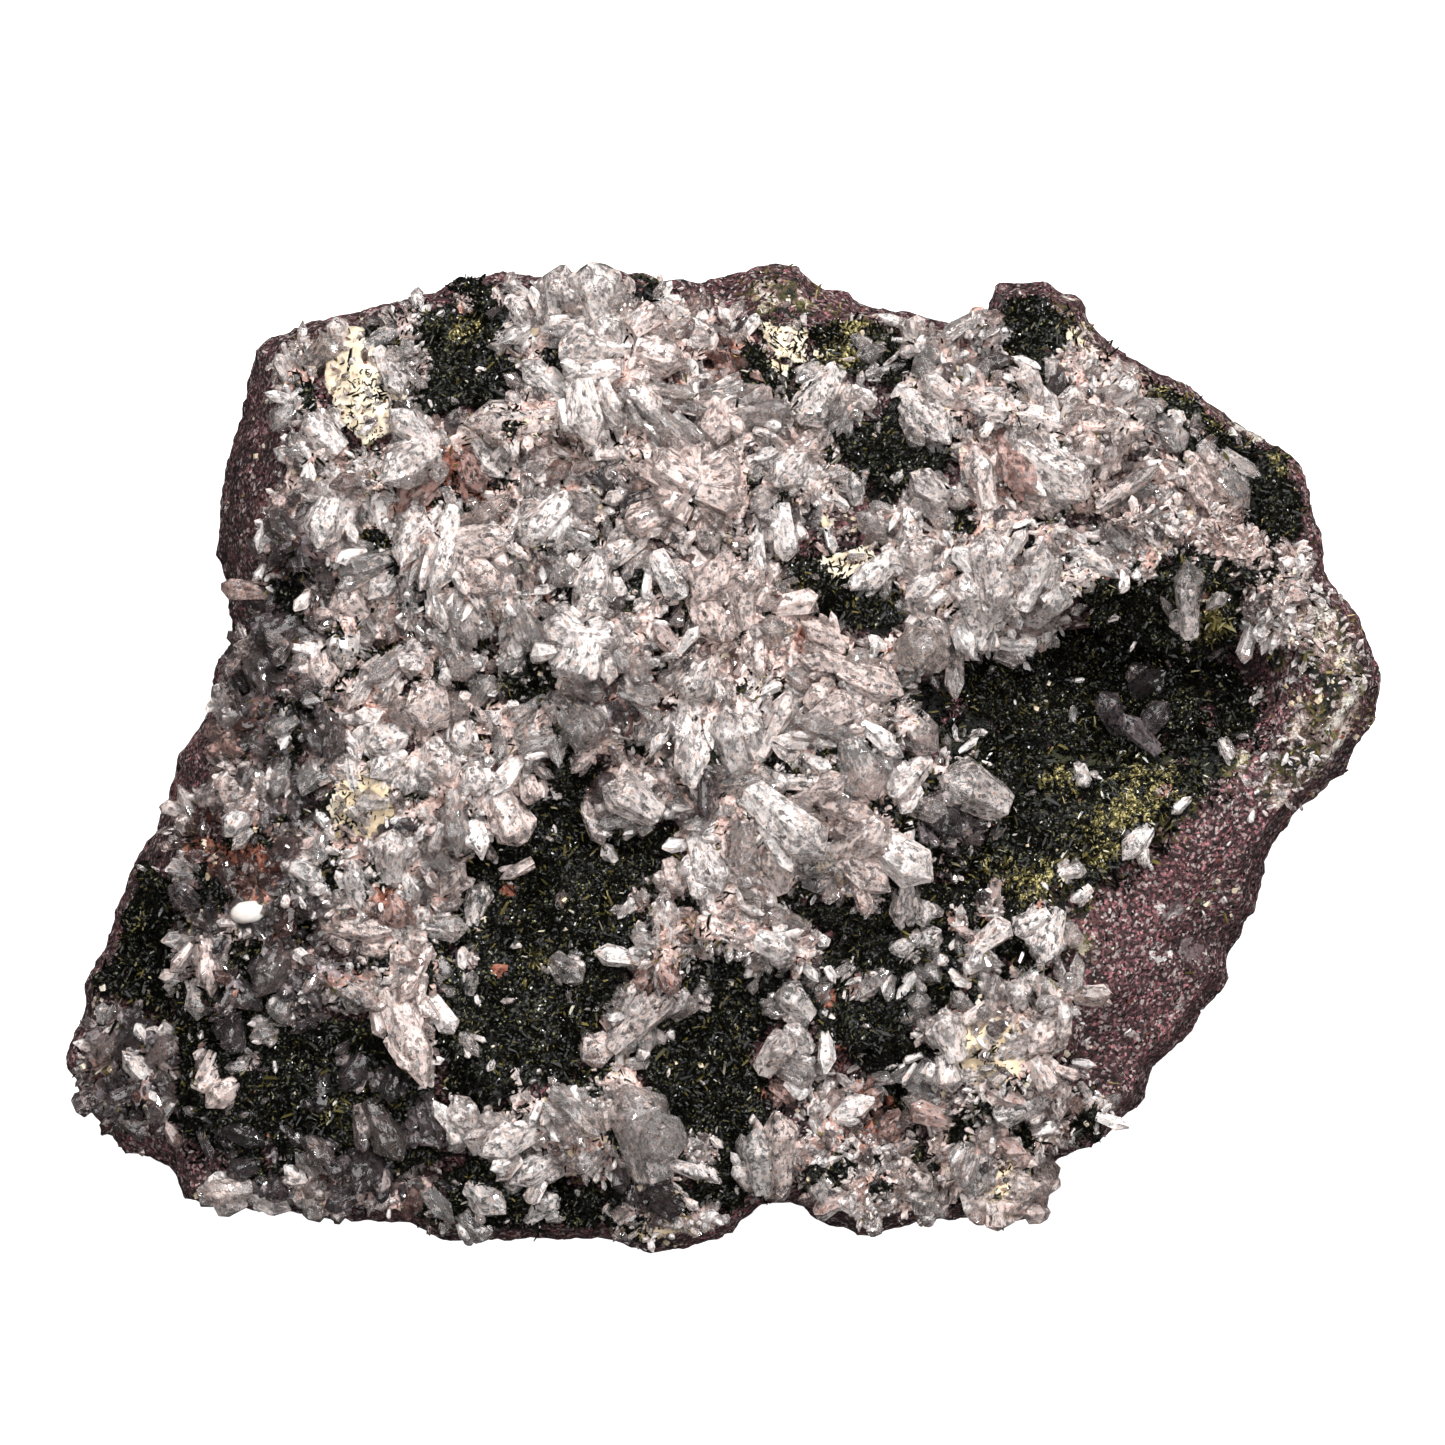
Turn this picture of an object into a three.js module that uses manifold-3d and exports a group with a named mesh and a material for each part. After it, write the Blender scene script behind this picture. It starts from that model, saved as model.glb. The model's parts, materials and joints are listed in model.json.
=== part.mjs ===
// Epidote crystal cluster: a broken slab of purple-brown volcanic rock, grown over on its upper side
// with dark green epidote druse, pale feldspar and clear to pink quartz crystals.
// Millimetres, +Z up. The specimen lies on its broken back with the crystals up, and the origin is
// at the middle of the surface it rests on.

import * as THREE from 'three';
import { mergeVertices } from 'three/addons/utils/BufferGeometryUtils.js';
import Module from 'manifold-3d';

// Driving dimensions
const SPECIMEN_WIDTH = 170;      // left tip to right tip
const ROCK_SPACING = 5.7;        // between the corners of the rock's upper facets
const UNDERSIDE_SPACING = 9.5;   // between the corners of the broken back's facets
const RIM_SPACING = 4.8;         // between the inner points that follow the rim
const TOP_RINGS = [2.4];         // how far inside the rim the upper rows of points run
const UNDERSIDE_RINGS = [1.6, 4.6, 9]; // and the rows on the flanks below it
const FLANK_WIDTH = 12;          // from the rim inwards to the flat of the back
const ROUGHNESS = 1.5;           // height of the rock's lumps
const LUMP_SIZE = 13;            // from one lump to the next
const GAP = 0.3;                 // clear of the rock and of each other
const LIP_OVERHANG = 5.5;        // how far the hollow runs back under its lip

// Places are read off the picture of the upper side, in its pixels, and turned to millimetres here.
const PICTURE_WIDTH_PX = 1336;
const PICTURE_CENTRE_PX = [720, 757];
const MM_PER_PX = SPECIMEN_WIDTH / PICTURE_WIDTH_PX;
const at = ([x, y]) => new THREE.Vector2(
  (x - PICTURE_CENTRE_PX[0]) * MM_PER_PX,
  (PICTURE_CENTRE_PX[1] - y) * MM_PER_PX,
);

// The outline as seen from above, clockwise, in stretches. The rim is the height of the widest
// contour, and the shoulder is how far inside it the upper side reaches its full height.
const OUTLINE = [
  { side: 'upper left corner', rim: 28, shoulder: 3.5, points: [
    [250, 345], [280, 326], [325, 312], [375, 303]] },
  { side: 'top edge', rim: 36, shoulder: 1.8, points: [
    [415, 293], [450, 280], [500, 269], [540, 271], [595, 268], [640, 269], [678, 279]] },
  { side: 'top knob', rim: 21, shoulder: 3, points: [
    [720, 269], [770, 255], [803, 262], [820, 282], [850, 284], [870, 303], [910, 306], [955, 316]] },
  { side: 'peninsula', rim: 29, shoulder: 2.5, points: [
    [981, 321], [986, 298], [998, 277], [1050, 281], [1087, 294], [1092, 318], [1112, 338]] },
  { side: 'upper right rim', rim: 27, shoulder: 4.5, points: [
    [1150, 360], [1190, 380], [1224, 405], [1262, 429], [1298, 451]] },
  { side: 'right edge', rim: 26, shoulder: 4, points: [
    [1314, 480], [1324, 530], [1328, 570], [1360, 608], [1378, 645], [1388, 685]] },
  { side: 'right corner', rim: 23, shoulder: 4, points: [
    [1378, 728], [1348, 776], [1310, 808], [1280, 843]] },
  { side: 'fracture edge', rim: 17, shoulder: 3, points: [
    [1269, 880], [1264, 912], [1239, 950], [1234, 984], [1205, 1022], [1181, 1055], [1159, 1075],
    [1149, 1108]] },
  { side: 'lower right', rim: 20, shoulder: 2.5, points: [
    [1115, 1140], [1082, 1160], [1053, 1168], [1042, 1200], [1012, 1229]] },
  { side: 'bottom edge', rim: 22, shoulder: 3, points: [
    [970, 1225], [925, 1229], [865, 1242], [822, 1228], [790, 1208], [758, 1214], [735, 1240],
    [690, 1256], [645, 1259], [600, 1246], [560, 1248], [510, 1243], [450, 1249], [400, 1230],
    [332, 1225], [270, 1219], [215, 1214]] },
  { side: 'lower left edge', rim: 17, shoulder: 2.5, points: [
    [177, 1208], [165, 1175]] },
  { side: 'ledge', rim: 9, shoulder: 3.5, points: [
    [122, 1163], [96, 1143], [70, 1100], [52, 1068], [72, 1015], [74, 980], [97, 938], [109, 892],
    [130, 852], [150, 818]] },
  { side: 'left face', rim: 16, shoulder: 8.5, points: [
    [172, 752], [200, 712], [208, 665], [224, 635], [219, 590], [212, 553], [210, 510], [216, 462],
    [232, 415], [241, 380]] },
];

// Heights of the upper side, as picture place and millimetres above the surface it rests on.
const RELIEF = [
  [300, 345, 39], [380, 325, 41], [480, 300, 41], [600, 295, 45], [680, 300, 42], [760, 345, 42],
  [850, 340, 41], [950, 345, 40], [1000, 310, 37], [1050, 340, 40], [1090, 385, 42],
  [1180, 405, 38], [1250, 450, 36], [1300, 500, 34],
  [300, 450, 43], [380, 420, 45], [440, 360, 41], [500, 430, 46], [620, 390, 49], [740, 365, 39],
  [740, 430, 47], [860, 400, 41], [860, 460, 42], [960, 400, 44], [1060, 440, 46], [1150, 470, 44],
  [1220, 520, 43], [1262, 505, 37], [1108, 538, 40], [1290, 570, 39],
  [300, 560, 43], [400, 560, 46], [500, 500, 44], [500, 580, 47], [600, 560, 46], [700, 540, 48],
  [800, 490, 46], [850, 590, 43], [920, 560, 46], [1000, 590, 48], [1100, 600, 45],
  [1200, 600, 45], [1290, 630, 42],
  [270, 680, 41], [350, 680, 43], [450, 680, 44], [530, 670, 43], [620, 660, 47], [740, 680, 47],
  [850, 680, 46], [920, 640, 45], [930, 710, 40], [990, 740, 37], [1100, 775, 36],
  [1200, 770, 38], [1250, 770, 41], [1320, 680, 41], [1360, 720, 38],
  [210, 800, 38], [330, 790, 43], [430, 780, 43], [510, 760, 43], [640, 790, 43], [740, 790, 46],
  [850, 790, 46], [930, 790, 44], [990, 830, 37], [1080, 830, 39], [1150, 810, 40],
  [200, 880, 36], [300, 880, 40], [400, 880, 41], [500, 880, 36], [600, 850, 36], [700, 870, 43],
  [800, 870, 44], [890, 860, 45], [980, 900, 36], [1050, 900, 40],
  [210, 1000, 34], [330, 980, 40], [420, 1010, 40], [500, 990, 36], [590, 1040, 38],
  [650, 960, 42], [720, 1010, 35], [800, 990, 40], [880, 1000, 35], [960, 1030, 41],
  [1030, 1050, 41],
  [220, 1100, 31], [320, 1090, 32], [430, 1100, 35], [520, 1130, 37], [640, 1130, 40],
  [720, 1120, 33], [790, 1130, 38], [890, 1110, 28], [970, 1120, 39], [1030, 1180, 35],
  [220, 1185, 29], [330, 1195, 30], [450, 1205, 31], [560, 1210, 31], [660, 1215, 33],
  [740, 1190, 31], [830, 1190, 33], [900, 1200, 33],
  [1250, 810, 36], [1170, 860, 38], [1090, 930, 39], [1240, 880, 32], [1180, 960, 34],
  [1090, 1010, 37], [1230, 940, 28], [1130, 1060, 31], [1180, 1030, 28], [1090, 1110, 30],
];

// Stretches that stand lower than the rest behind a sharp step, each with heights of its own.
const LOW_LEDGE = {
  border: [[182, 800], [176, 890], [171, 1000], [179, 1060], [173, 1140], [168, 1240], [20, 1240],
    [20, 800]],
  heights: [[130, 880, 21], [155, 960, 15], [95, 1000, 18], [85, 1080, 17], [135, 1060, 19],
    [140, 1140, 17]],
};
const BACK_KNOB = {
  border: [[675, 240], [672, 296], [690, 312], [780, 325], [870, 328], [900, 321], [972, 308],
    [972, 240]],
  heights: [[710, 285, 30], [780, 285, 33], [840, 300, 31], [920, 312, 31]],
};
const HOLLOW = {
  border: [[948, 655], [1000, 646], [1060, 634], [1110, 634], [1180, 657], [1245, 643], [1268, 662],
    [1272, 705], [1255, 745], [1200, 762], [1100, 764], [1020, 752], [958, 715]],
  heights: [[985, 675, 33], [1075, 655, 24], [1150, 675, 25], [1225, 665, 24], [1000, 715, 33],
    [1090, 715, 28], [1160, 720, 30], [1230, 720, 29], [1110, 750, 34], [1200, 750, 34]],
};
const STEPS = [LOW_LEDGE, BACK_KNOB, HOLLOW];
const STEP_WIDTH = 2.4;          // from the foot of a step to its head
const STEP_POINT_SPACING = 4.5;

// The overhanging lip is the first stretch of the hollow's border. It and the left face's upper edge
// both stay sharp.
const LIP_CORNERS = 6;
const LIP_ROWS = [2, 5.2];       // rows of points behind and below the lip
const LEFT_EDGE = [[282, 345], [288, 470], [268, 535], [256, 620], [225, 700]];

// What grows where on the upper side: the first border that holds a facet names its growth.
const BARE = null;
const GROWTHS = [
  { name: 'epidote_hollow', kind: 'hollow', border: HOLLOW.border },
  { name: 'epidote_ledge', kind: 'epidote', border: [
    [125, 835], [176, 835], [176, 1020], [140, 1020], [104, 985], [100, 920]] },
  { name: 'quartz_ledge', kind: 'quartz', crystals: 2, seed: [130, 1055], border: [
    [90, 1015], [176, 1020], [180, 1110], [105, 1120], [72, 1065]] },
  { name: BARE, border: [[20, 800], [190, 800], [176, 890], [171, 1000], [178, 1060], [172, 1240],
    [20, 1240]] },
  { name: BARE, border: [[200, 300], [280, 325], [285, 400], [290, 475], [268, 535], [256, 620],
    [225, 700], [190, 765], [120, 810], [120, 700]] },
  { name: BARE, border: [[680, 240], [980, 240], [975, 305], [900, 322], [870, 328], [780, 325],
    [690, 312]] },
  { name: BARE, border: [[1100, 325], [1150, 340], [1220, 385], [1310, 440], [1325, 485],
    [1290, 452], [1230, 428], [1180, 398], [1130, 378]] },
  { name: BARE, border: [[1300, 530], [1340, 545], [1420, 660], [1400, 740], [1340, 820],
    [1290, 860], [1245, 800], [1245, 765], [1278, 740], [1272, 660], [1300, 600]] },
  { name: BARE, border: [[1230, 790], [1300, 835], [1300, 900], [1200, 1100], [1140, 1150],
    [1095, 1120], [1060, 1085], [1048, 1050], [1055, 1010], [1050, 960], [1060, 930], [1085, 900],
    [1120, 865], [1175, 830]] },
  { name: 'epidote_top_left', kind: 'epidote', border: [
    [405, 300], [455, 284], [495, 296], [505, 345], [535, 380], [505, 402], [470, 398], [440, 432],
    [408, 445], [400, 380], [390, 335]] },
  { name: 'epidote_top_right', kind: 'epidote', border: [
    [820, 325], [885, 322], [908, 350], [895, 392], [850, 385], [822, 360]] },
  { name: 'epidote_band', kind: 'epidote', border: [
    [815, 435], [850, 418], [905, 420], [965, 430], [970, 475], [900, 485], [835, 475]] },
  { name: 'epidote_peninsula', kind: 'epidote', border: [
    [992, 285], [1055, 288], [1060, 350], [1045, 390], [1000, 375], [986, 335]] },
  { name: 'epidote_right_edge', kind: 'epidote', border: [
    [1150, 398], [1225, 402], [1305, 450], [1325, 510], [1292, 545], [1238, 535], [1225, 470],
    [1180, 468], [1150, 445]] },
  { name: 'epidote_lip', kind: 'epidote', border: [
    [1065, 572], [1190, 556], [1245, 598], [1205, 640], [1110, 630], [1068, 622]] },
  { name: 'epidote_middle', kind: 'epidote', border: [
    [788, 558], [850, 552], [910, 588], [910, 624], [850, 620], [796, 604]] },
  { name: 'epidote_slope', kind: 'epidote', border: [
    [898, 662], [950, 658], [960, 718], [1020, 755], [1100, 768], [1200, 765], [1215, 790],
    [1165, 850], [1115, 892], [1050, 905], [1030, 880], [985, 865], [1000, 825], [985, 762],
    [925, 740], [890, 700]] },
  { name: 'epidote_right_basin', kind: 'epidote', border: [
    [815, 878], [870, 900], [930, 882], [985, 865], [1035, 882], [1052, 905], [1045, 935],
    [1000, 965], [950, 978], [922, 1012], [922, 1080], [935, 1155], [885, 1160], [868, 1092],
    [832, 1062], [812, 1000]] },
  { name: 'epidote_left_basin', kind: 'epidote', border: [
    [538, 758], [602, 768], [602, 810], [650, 830], [692, 842], [692, 872], [650, 905], [640, 960],
    [610, 1012], [560, 1062], [480, 1104], [430, 1082], [428, 1000], [450, 940], [470, 880],
    [480, 828], [528, 800]] },
  { name: 'epidote_basin', kind: 'epidote', border: [
    [680, 958], [782, 958], [772, 1060], [785, 1150], [722, 1202], [650, 1135], [640, 1060],
    [668, 1000]] },
  { name: 'epidote_lower_left', kind: 'epidote', border: [
    [182, 985], [300, 982], [332, 1010], [400, 1032], [422, 1100], [442, 1152], [380, 1178],
    [250, 1168], [182, 1125]] },
  { name: 'epidote_bottom', kind: 'epidote', border: [
    [450, 1160], [540, 1158], [602, 1172], [612, 1250], [540, 1256], [468, 1250], [436, 1200]] },
  { name: 'feldspar_top_left', kind: 'feldspar', border: [
    [332, 325], [362, 308], [394, 330], [400, 372], [398, 445], [342, 448], [332, 400]] },
  { name: 'feldspar_top', kind: 'feldspar', border: [
    [750, 330], [822, 326], [822, 368], [765, 374]] },
  { name: 'feldspar_middle', kind: 'feldspar', border: [
    [802, 512], [850, 502], [888, 528], [895, 590], [850, 560], [806, 558]] },
];

// Quartz covers what is left, each facet in the cluster whose middle is nearest, with so many
// crystals that splay out from that middle.
const QUARTZ_CLUSTERS = [
  { name: 'quartz_top_burst', seed: [605, 350], crystals: 0 },
  { name: 'quartz_crown', seed: [510, 470], crystals: 1 },
  { name: 'quartz_upper_left', seed: [320, 480], crystals: 2 },
  { name: 'quartz_left_white', seed: [430, 585], crystals: 0 },
  { name: 'quartz_upper_middle', seed: [690, 450], crystals: 0 },
  { name: 'quartz_upper_inner', seed: [790, 420], crystals: 2 },
  { name: 'quartz_upper_right', seed: [940, 400], crystals: 2 },
  { name: 'quartz_spray', seed: [1065, 440], crystals: 0 },
  { name: 'quartz_right_arc', seed: [1190, 530], crystals: 2 },
  { name: 'quartz_white_ball', seed: [1000, 580], crystals: 1 },
  { name: 'quartz_centre', seed: [590, 640], crystals: 2 },
  { name: 'quartz_heart', seed: [740, 650], crystals: 2 },
  { name: 'quartz_middle_right', seed: [850, 750], crystals: 1 },
  { name: 'quartz_left_shade', seed: [320, 690], crystals: 2 },
  { name: 'quartz_left_column', seed: [400, 850], crystals: 0 },
  { name: 'quartz_left_rust', seed: [230, 860], crystals: 2 },
  { name: 'quartz_prism_band', seed: [740, 880], crystals: 0 },
  { name: 'quartz_pillar', seed: [640, 1040], crystals: 1 },
  { name: 'quartz_lower_white', seed: [985, 1045], crystals: 2 },
  { name: 'quartz_bottom_right', seed: [960, 1180], crystals: 3 },
  { name: 'quartz_bottom_left', seed: [300, 1200], crystals: 2 },
];

// The crystals that stand out, each as the picture places of its foot and tip, its width in
// picture pixels and how far its tip stands above its foot in millimetres.
const LONG_CRYSTALS = {
  quartz_top_burst: [
    [590, 330, 561, 290, 24, 5], [602, 325, 600, 285, 26, 4], [625, 345, 645, 312, 24, 5],
    [635, 360, 678, 352, 26, 3], [600, 450, 582, 384, 30, 4]],
  quartz_crown: [[560, 418, 466, 430, 42, 4], [520, 520, 490, 560, 26, 3]],
  quartz_left_white: [
    [412, 620, 408, 550, 20, 4], [436, 600, 430, 515, 24, 3], [350, 612, 340, 668, 32, 3]],
  quartz_upper_middle: [
    [706, 500, 713, 556, 26, 4], [735, 415, 798, 410, 20, 3], [690, 500, 690, 470, 34, 7]],
  quartz_spray: [
    [1045, 421, 962, 404, 28, 4], [1062, 424, 1150, 431, 18, 4], [1105, 502, 1158, 466, 18, 4]],
  quartz_right_arc: [[1187, 628, 1183, 574, 22, 4], [1205, 452, 1242, 494, 22, 3]],
  quartz_white_ball: [[1010, 600, 972, 536, 26, 4], [1040, 590, 1098, 574, 24, 3]],
  quartz_centre: [[600, 660, 572, 628, 34, 6], [560, 740, 590, 705, 26, 4]],
  quartz_heart: [[690, 772, 688, 712, 24, 4], [765, 745, 792, 690, 22, 5]],
  quartz_middle_right: [[893, 702, 936, 752, 32, 4], [850, 735, 795, 722, 20, 3]],
  quartz_left_column: [[320, 968, 388, 1010, 26, 3], [400, 1000, 431, 1088, 26, 2]],
  quartz_prism_band: [[802, 952, 684, 922, 30, 4], [768, 810, 822, 852, 38, 5],
    [668, 985, 662, 885, 30, 4]],
  quartz_pillar: [[620, 1040, 682, 984, 26, 5]],
  quartz_lower_white: [[1010, 1010, 1040, 960, 24, 4]],
  quartz_bottom_right: [[975, 1202, 1040, 1180, 40, 4]],
  quartz_bottom_left: [[240, 1190, 200, 1196, 24, 3]],
};
const LONE_CRYSTALS = [
  [930, 655, 905, 643, 42, 6], [955, 652, 952, 700, 20, 4], [648, 808, 606, 782, 40, 5],
  [992, 800, 942, 772, 48, 4], [880, 842, 930, 880, 42, 5], [655, 1165, 630, 1080, 56, 5],
  [768, 1062, 790, 1030, 30, 5], [460, 1126, 532, 1140, 32, 3], [372, 674, 348, 710, 22, 4],
];
const HOLLOW_CRYSTALS = [
  [1120, 728, 1100, 690, 26, 6], [1140, 735, 1168, 700, 24, 6], [1150, 745, 1120, 715, 20, 5],
];
const WAXY_BEAD = { place: [253, 911], length: 4.7, width: 3.1 };

// How thick each growth is at its border and inside it, and how far its points stand out of it.
const GROWTH_FORM = {
  epidote: { edge: 0.9, body: 1.5, points: 1.7 },
  hollow: { edge: 0.5, body: 0.7, points: 0.5, overhung: true },
  quartz: { edge: 0.9, body: 1.9, points: 2.0 },
  feldspar: { edge: 0.8, body: 1.4, points: 0.6 },
};
const BORDER_SHRINK = 0.18;      // share by which a growth draws back from its border facets
const OVERHANG = 0.45;           // nothing grows on facets whose normal rises less than this
const BLADES_PER_PATCH = 2;      // epidote blades that stand out of a patch
const BLADE_MIN_FACETS = 16;     // on the patches with at least so many facets
const BLADE_LENGTH = [3, 4.2];
const BLADE_WIDTH = [1.6, 2.2];
const QUARTZ_LENGTH = [5, 9];    // of the crystals that splay out of a cluster
const QUARTZ_SLENDERNESS = [0.32, 0.46]; // width over length
const TIP_SHARE = 0.3;           // share of a crystal's length that its point takes
const CRYSTAL_ROOT = 1.3;        // how deep a crystal's foot is sunk in what it grows from
const ROOT_TAPER = 0.66;         // width of a crystal's foot over its full width

const MATERIALS = {
  rock: new THREE.MeshStandardMaterial({ color: '#5a4147', roughness: 0.9, metalness: 0 }),
  epidote: new THREE.MeshStandardMaterial({ color: '#232c1c', roughness: 0.35, metalness: 0 }),
  hollow: new THREE.MeshStandardMaterial({ color: '#161c13', roughness: 0.4, metalness: 0 }),
  quartz: new THREE.MeshStandardMaterial({ color: '#dcc8c6', roughness: 0.15, metalness: 0 }),
  feldspar: new THREE.MeshStandardMaterial({ color: '#e0cfae', roughness: 0.7, metalness: 0 }),
  bead: new THREE.MeshStandardMaterial({ color: '#e9e2d6', roughness: 0.5, metalness: 0 }),
};

const wasm = await Module();
wasm.setup();

// Seeded random numbers, so that every run gives the same specimen
function randomFrom(seed) {
  let state = seed;
  return () => {
    state = (state + 0x6D2B79F5) | 0;
    let t = Math.imul(state ^ (state >>> 15), 1 | state);
    t = (t + Math.imul(t ^ (t >>> 7), 61 | t)) ^ t;
    return ((t ^ (t >>> 14)) >>> 0) / 4294967296;
  };
}

const mix = THREE.MathUtils.lerp;
const ramp = THREE.MathUtils.smoothstep;
const chanceAt = (i, j) => randomFrom((i * 7919 + j * 104729) | 0)();

// Smooth noise between -1 and 1, with lumps one unit apart
function noise(x, y) {
  const i = Math.floor(x);
  const j = Math.floor(y);
  const u = ramp(x - i, 0, 1);
  const v = ramp(y - j, 0, 1);
  const low = mix(chanceAt(i, j), chanceAt(i + 1, j), u);
  const high = mix(chanceAt(i, j + 1), chanceAt(i + 1, j + 1), u);
  return 2 * mix(low, high, v) - 1;
}

const FINER = 2.3;               // how much finer the small lumps on the large ones are
const lumps = (p, size) => noise(p.x / size, p.y / size)
  + 0.5 * noise((p.x / size) * FINER + 31, (p.y / size) * FINER);

// Plane geometry of borders and lines
function nearestOn(line, p, closed) {
  let best = { distance: Infinity };
  const last = closed ? line.length : line.length - 1;
  for (let i = 0; i < last; i += 1) {
    const a = line[i];
    const b = line[(i + 1) % line.length];
    const edge = b.clone().sub(a);
    const t = THREE.MathUtils.clamp(p.clone().sub(a).dot(edge) / edge.lengthSq(), 0, 1);
    const distance = p.distanceTo(a.clone().addScaledVector(edge, t));
    if (distance < best.distance) best = { distance, index: i, t };
  }
  return best;
}

function inside(border, p) {
  let hit = false;
  for (let i = 0, j = border.length - 1; i < border.length; j = i, i += 1) {
    const a = border[i];
    const b = border[j];
    if ((a.y > p.y) !== (b.y > p.y) && p.x < (b.x - a.x) * (p.y - a.y) / (b.y - a.y) + a.x) hit = !hit;
  }
  return hit;
}

const depthInside = (border, p) => nearestOn(border, p, true).distance * (inside(border, p) ? 1 : -1);

function alongLine(line, spacing) {
  const points = [];
  for (let i = 0; i < line.length - 1; i += 1) {
    const count = Math.max(1, Math.round(line[i].distanceTo(line[i + 1]) / spacing));
    for (let k = 0; k < count; k += 1) points.push(line[i].clone().lerp(line[i + 1], k / count));
  }
  points.push(line[line.length - 1]);
  return points;
}

// A line moved sideways by an amount, to the left of its direction
function besideLine(line, amount) {
  return line.map((p, i) => {
    const before = line[Math.max(i - 1, 0)];
    const after = line[Math.min(i + 1, line.length - 1)];
    const along = after.clone().sub(before).normalize();
    return new THREE.Vector2(p.x - along.y * amount, p.y + along.x * amount);
  });
}

// The rim, anticlockwise, with its height and shoulder eased from one stretch to the next
const rimStations = OUTLINE.flatMap(({ rim, shoulder, points }) => (
  points.map((place) => ({ place: at(place), rim, shoulder })))).reverse();
const rimLine = rimStations.map((station) => station.place);

function easedRim(key) {
  const count = rimStations.length;
  return rimStations.map((station, i) => {
    const before = rimStations[(i + count - 1) % count][key];
    const after = rimStations[(i + 1) % count][key];
    return (before + 2 * station[key] + after) / 4;
  });
}

const RIM_UNEVENNESS = 1.6;
const rimHeights = easedRim('rim').map((rim, i) => rim + RIM_UNEVENNESS * (2 * chanceAt(i, 77) - 1));
const rimShoulders = easedRim('shoulder');

function rimAt(p) {
  const { distance, index, t } = nearestOn(rimLine, p, true);
  const next = (index + 1) % rimLine.length;
  return {
    distance,
    height: mix(rimHeights[index], rimHeights[next], t),
    shoulder: mix(rimShoulders[index], rimShoulders[next], t),
  };
}

// Heights of the rock's upper side
const NEARNESS = 2.5;            // how closely a height holds around its own place
const placed = (heights) => heights.map(([x, y, height]) => ({ place: at([x, y]), height }));

function heightFrom(list, p) {
  let sum = 0;
  let total = 0;
  for (const { place, height } of list) {
    const weight = 1 / (place.distanceToSquared(p) + NEARNESS) ** 2;
    sum += weight * height;
    total += weight;
  }
  return sum / total;
}

const relief = placed(RELIEF);
const steps = STEPS.map(({ border, heights }) => ({ border: border.map(at), heights: placed(heights) }));

function upperHeight(p) {
  let height = heightFrom(relief, p);
  for (const { border, heights } of steps) {
    const share = ramp(depthInside(border, p), -STEP_WIDTH / 2, STEP_WIDTH / 2);
    if (share > 0) height = mix(height, heightFrom(heights, p), share);
  }
  height += ROUGHNESS * lumps(p, LUMP_SIZE);
  const rim = rimAt(p);
  const rise = Math.sqrt(THREE.MathUtils.clamp(rim.distance / rim.shoulder, 0, 1));
  return mix(rim.height, Math.max(height, rim.height), rise);
}

// The hollow runs back under its lip: what lies just below the lip is moved behind it.
const hollowBorder = HOLLOW.border.map(at);
const lipLine = hollowBorder.slice(0, LIP_CORNERS);
const hollowFoot = [...hollowBorder.slice(LIP_CORNERS), hollowBorder[0]];
const LIP_REACH = [0, 2.2, 5.5, 14];  // where the move sets in, is full, and fades out again
const HOLLOW_SIDES = 7;          // how far inside the hollow's other sides the move is full

function upperPoint(p) {
  const point = new THREE.Vector3(p.x, p.y, upperHeight(p));
  if (!inside(hollowBorder, p)) return point;
  const below = nearestOn(lipLine, p, false).distance;
  const [start, full, hold, end] = LIP_REACH;
  const sides = ramp(nearestOn(hollowFoot, p, false).distance, 0, HOLLOW_SIDES);
  point.y += LIP_OVERHANG * ramp(below, start, full) * (1 - ramp(below, hold, end)) * sides;
  return point;
}

// The broken back: flat where it rests, rising unevenly to the flanks and the rim
const BACK_UNEVENNESS = 9;
const BACK_SINK = 3;             // what is lower than this is worn down to the resting face
const FLANK_UNEVENNESS = 2.6;

function undersidePoint(p) {
  const rim = rimAt(p);
  const shift = { x: p.x + 200, y: p.y + 100 };
  const flank = (1 - Math.min(rim.distance / FLANK_WIDTH, 1)) ** 2.2;
  const broken = Math.max(BACK_UNEVENNESS * lumps(shift, LUMP_SIZE * 1.9) - BACK_SINK, 0);
  const rough = FLANK_UNEVENNESS * lumps(shift, LUMP_SIZE * 0.7) * (rim.distance < FLANK_WIDTH ? 1 : 0);
  const height = rim.height * flank + (broken + rough) * ramp(rim.distance, 1, FLANK_WIDTH * 0.6);
  return new THREE.Vector3(p.x, p.y, height < 0.6 ? 0 : height);
}

// Points spread over the outline: the given ones first, then seeded ones that keep their distance
function spread(given, spacing, seed) {
  const random = randomFrom(seed);
  const points = [];
  const clearOf = (p, distance) => points.every((q) => q.distanceTo(p) > distance)
    && nearestOn(rimLine, p, true).distance > distance * 0.72;
  for (const { p, room } of given) {
    if (inside(rimLine, p) && points.every((q) => q.distanceTo(p) > room)
      && nearestOn(rimLine, p, true).distance > room * 0.6) points.push(p);
  }
  const tries = 14000;
  for (let i = 0; i < tries; i += 1) {
    const p = new THREE.Vector2((random() - 0.5) * SPECIMEN_WIDTH, (random() - 0.5) * SPECIMEN_WIDTH);
    if (inside(rimLine, p) && clearOf(p, spacing * 0.8)) points.push(p);
  }
  return points;
}

const closedRim = [...rimLine, rimLine[0]];
const ringPoints = (inset, spacing) => alongLine(besideLine(closedRim, inset), spacing)
  .map((p) => ({ p, room: inset * 0.9 }));
const featurePoints = (line, room) => alongLine(line, STEP_POINT_SPACING).map((p) => ({ p, room }));

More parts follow.
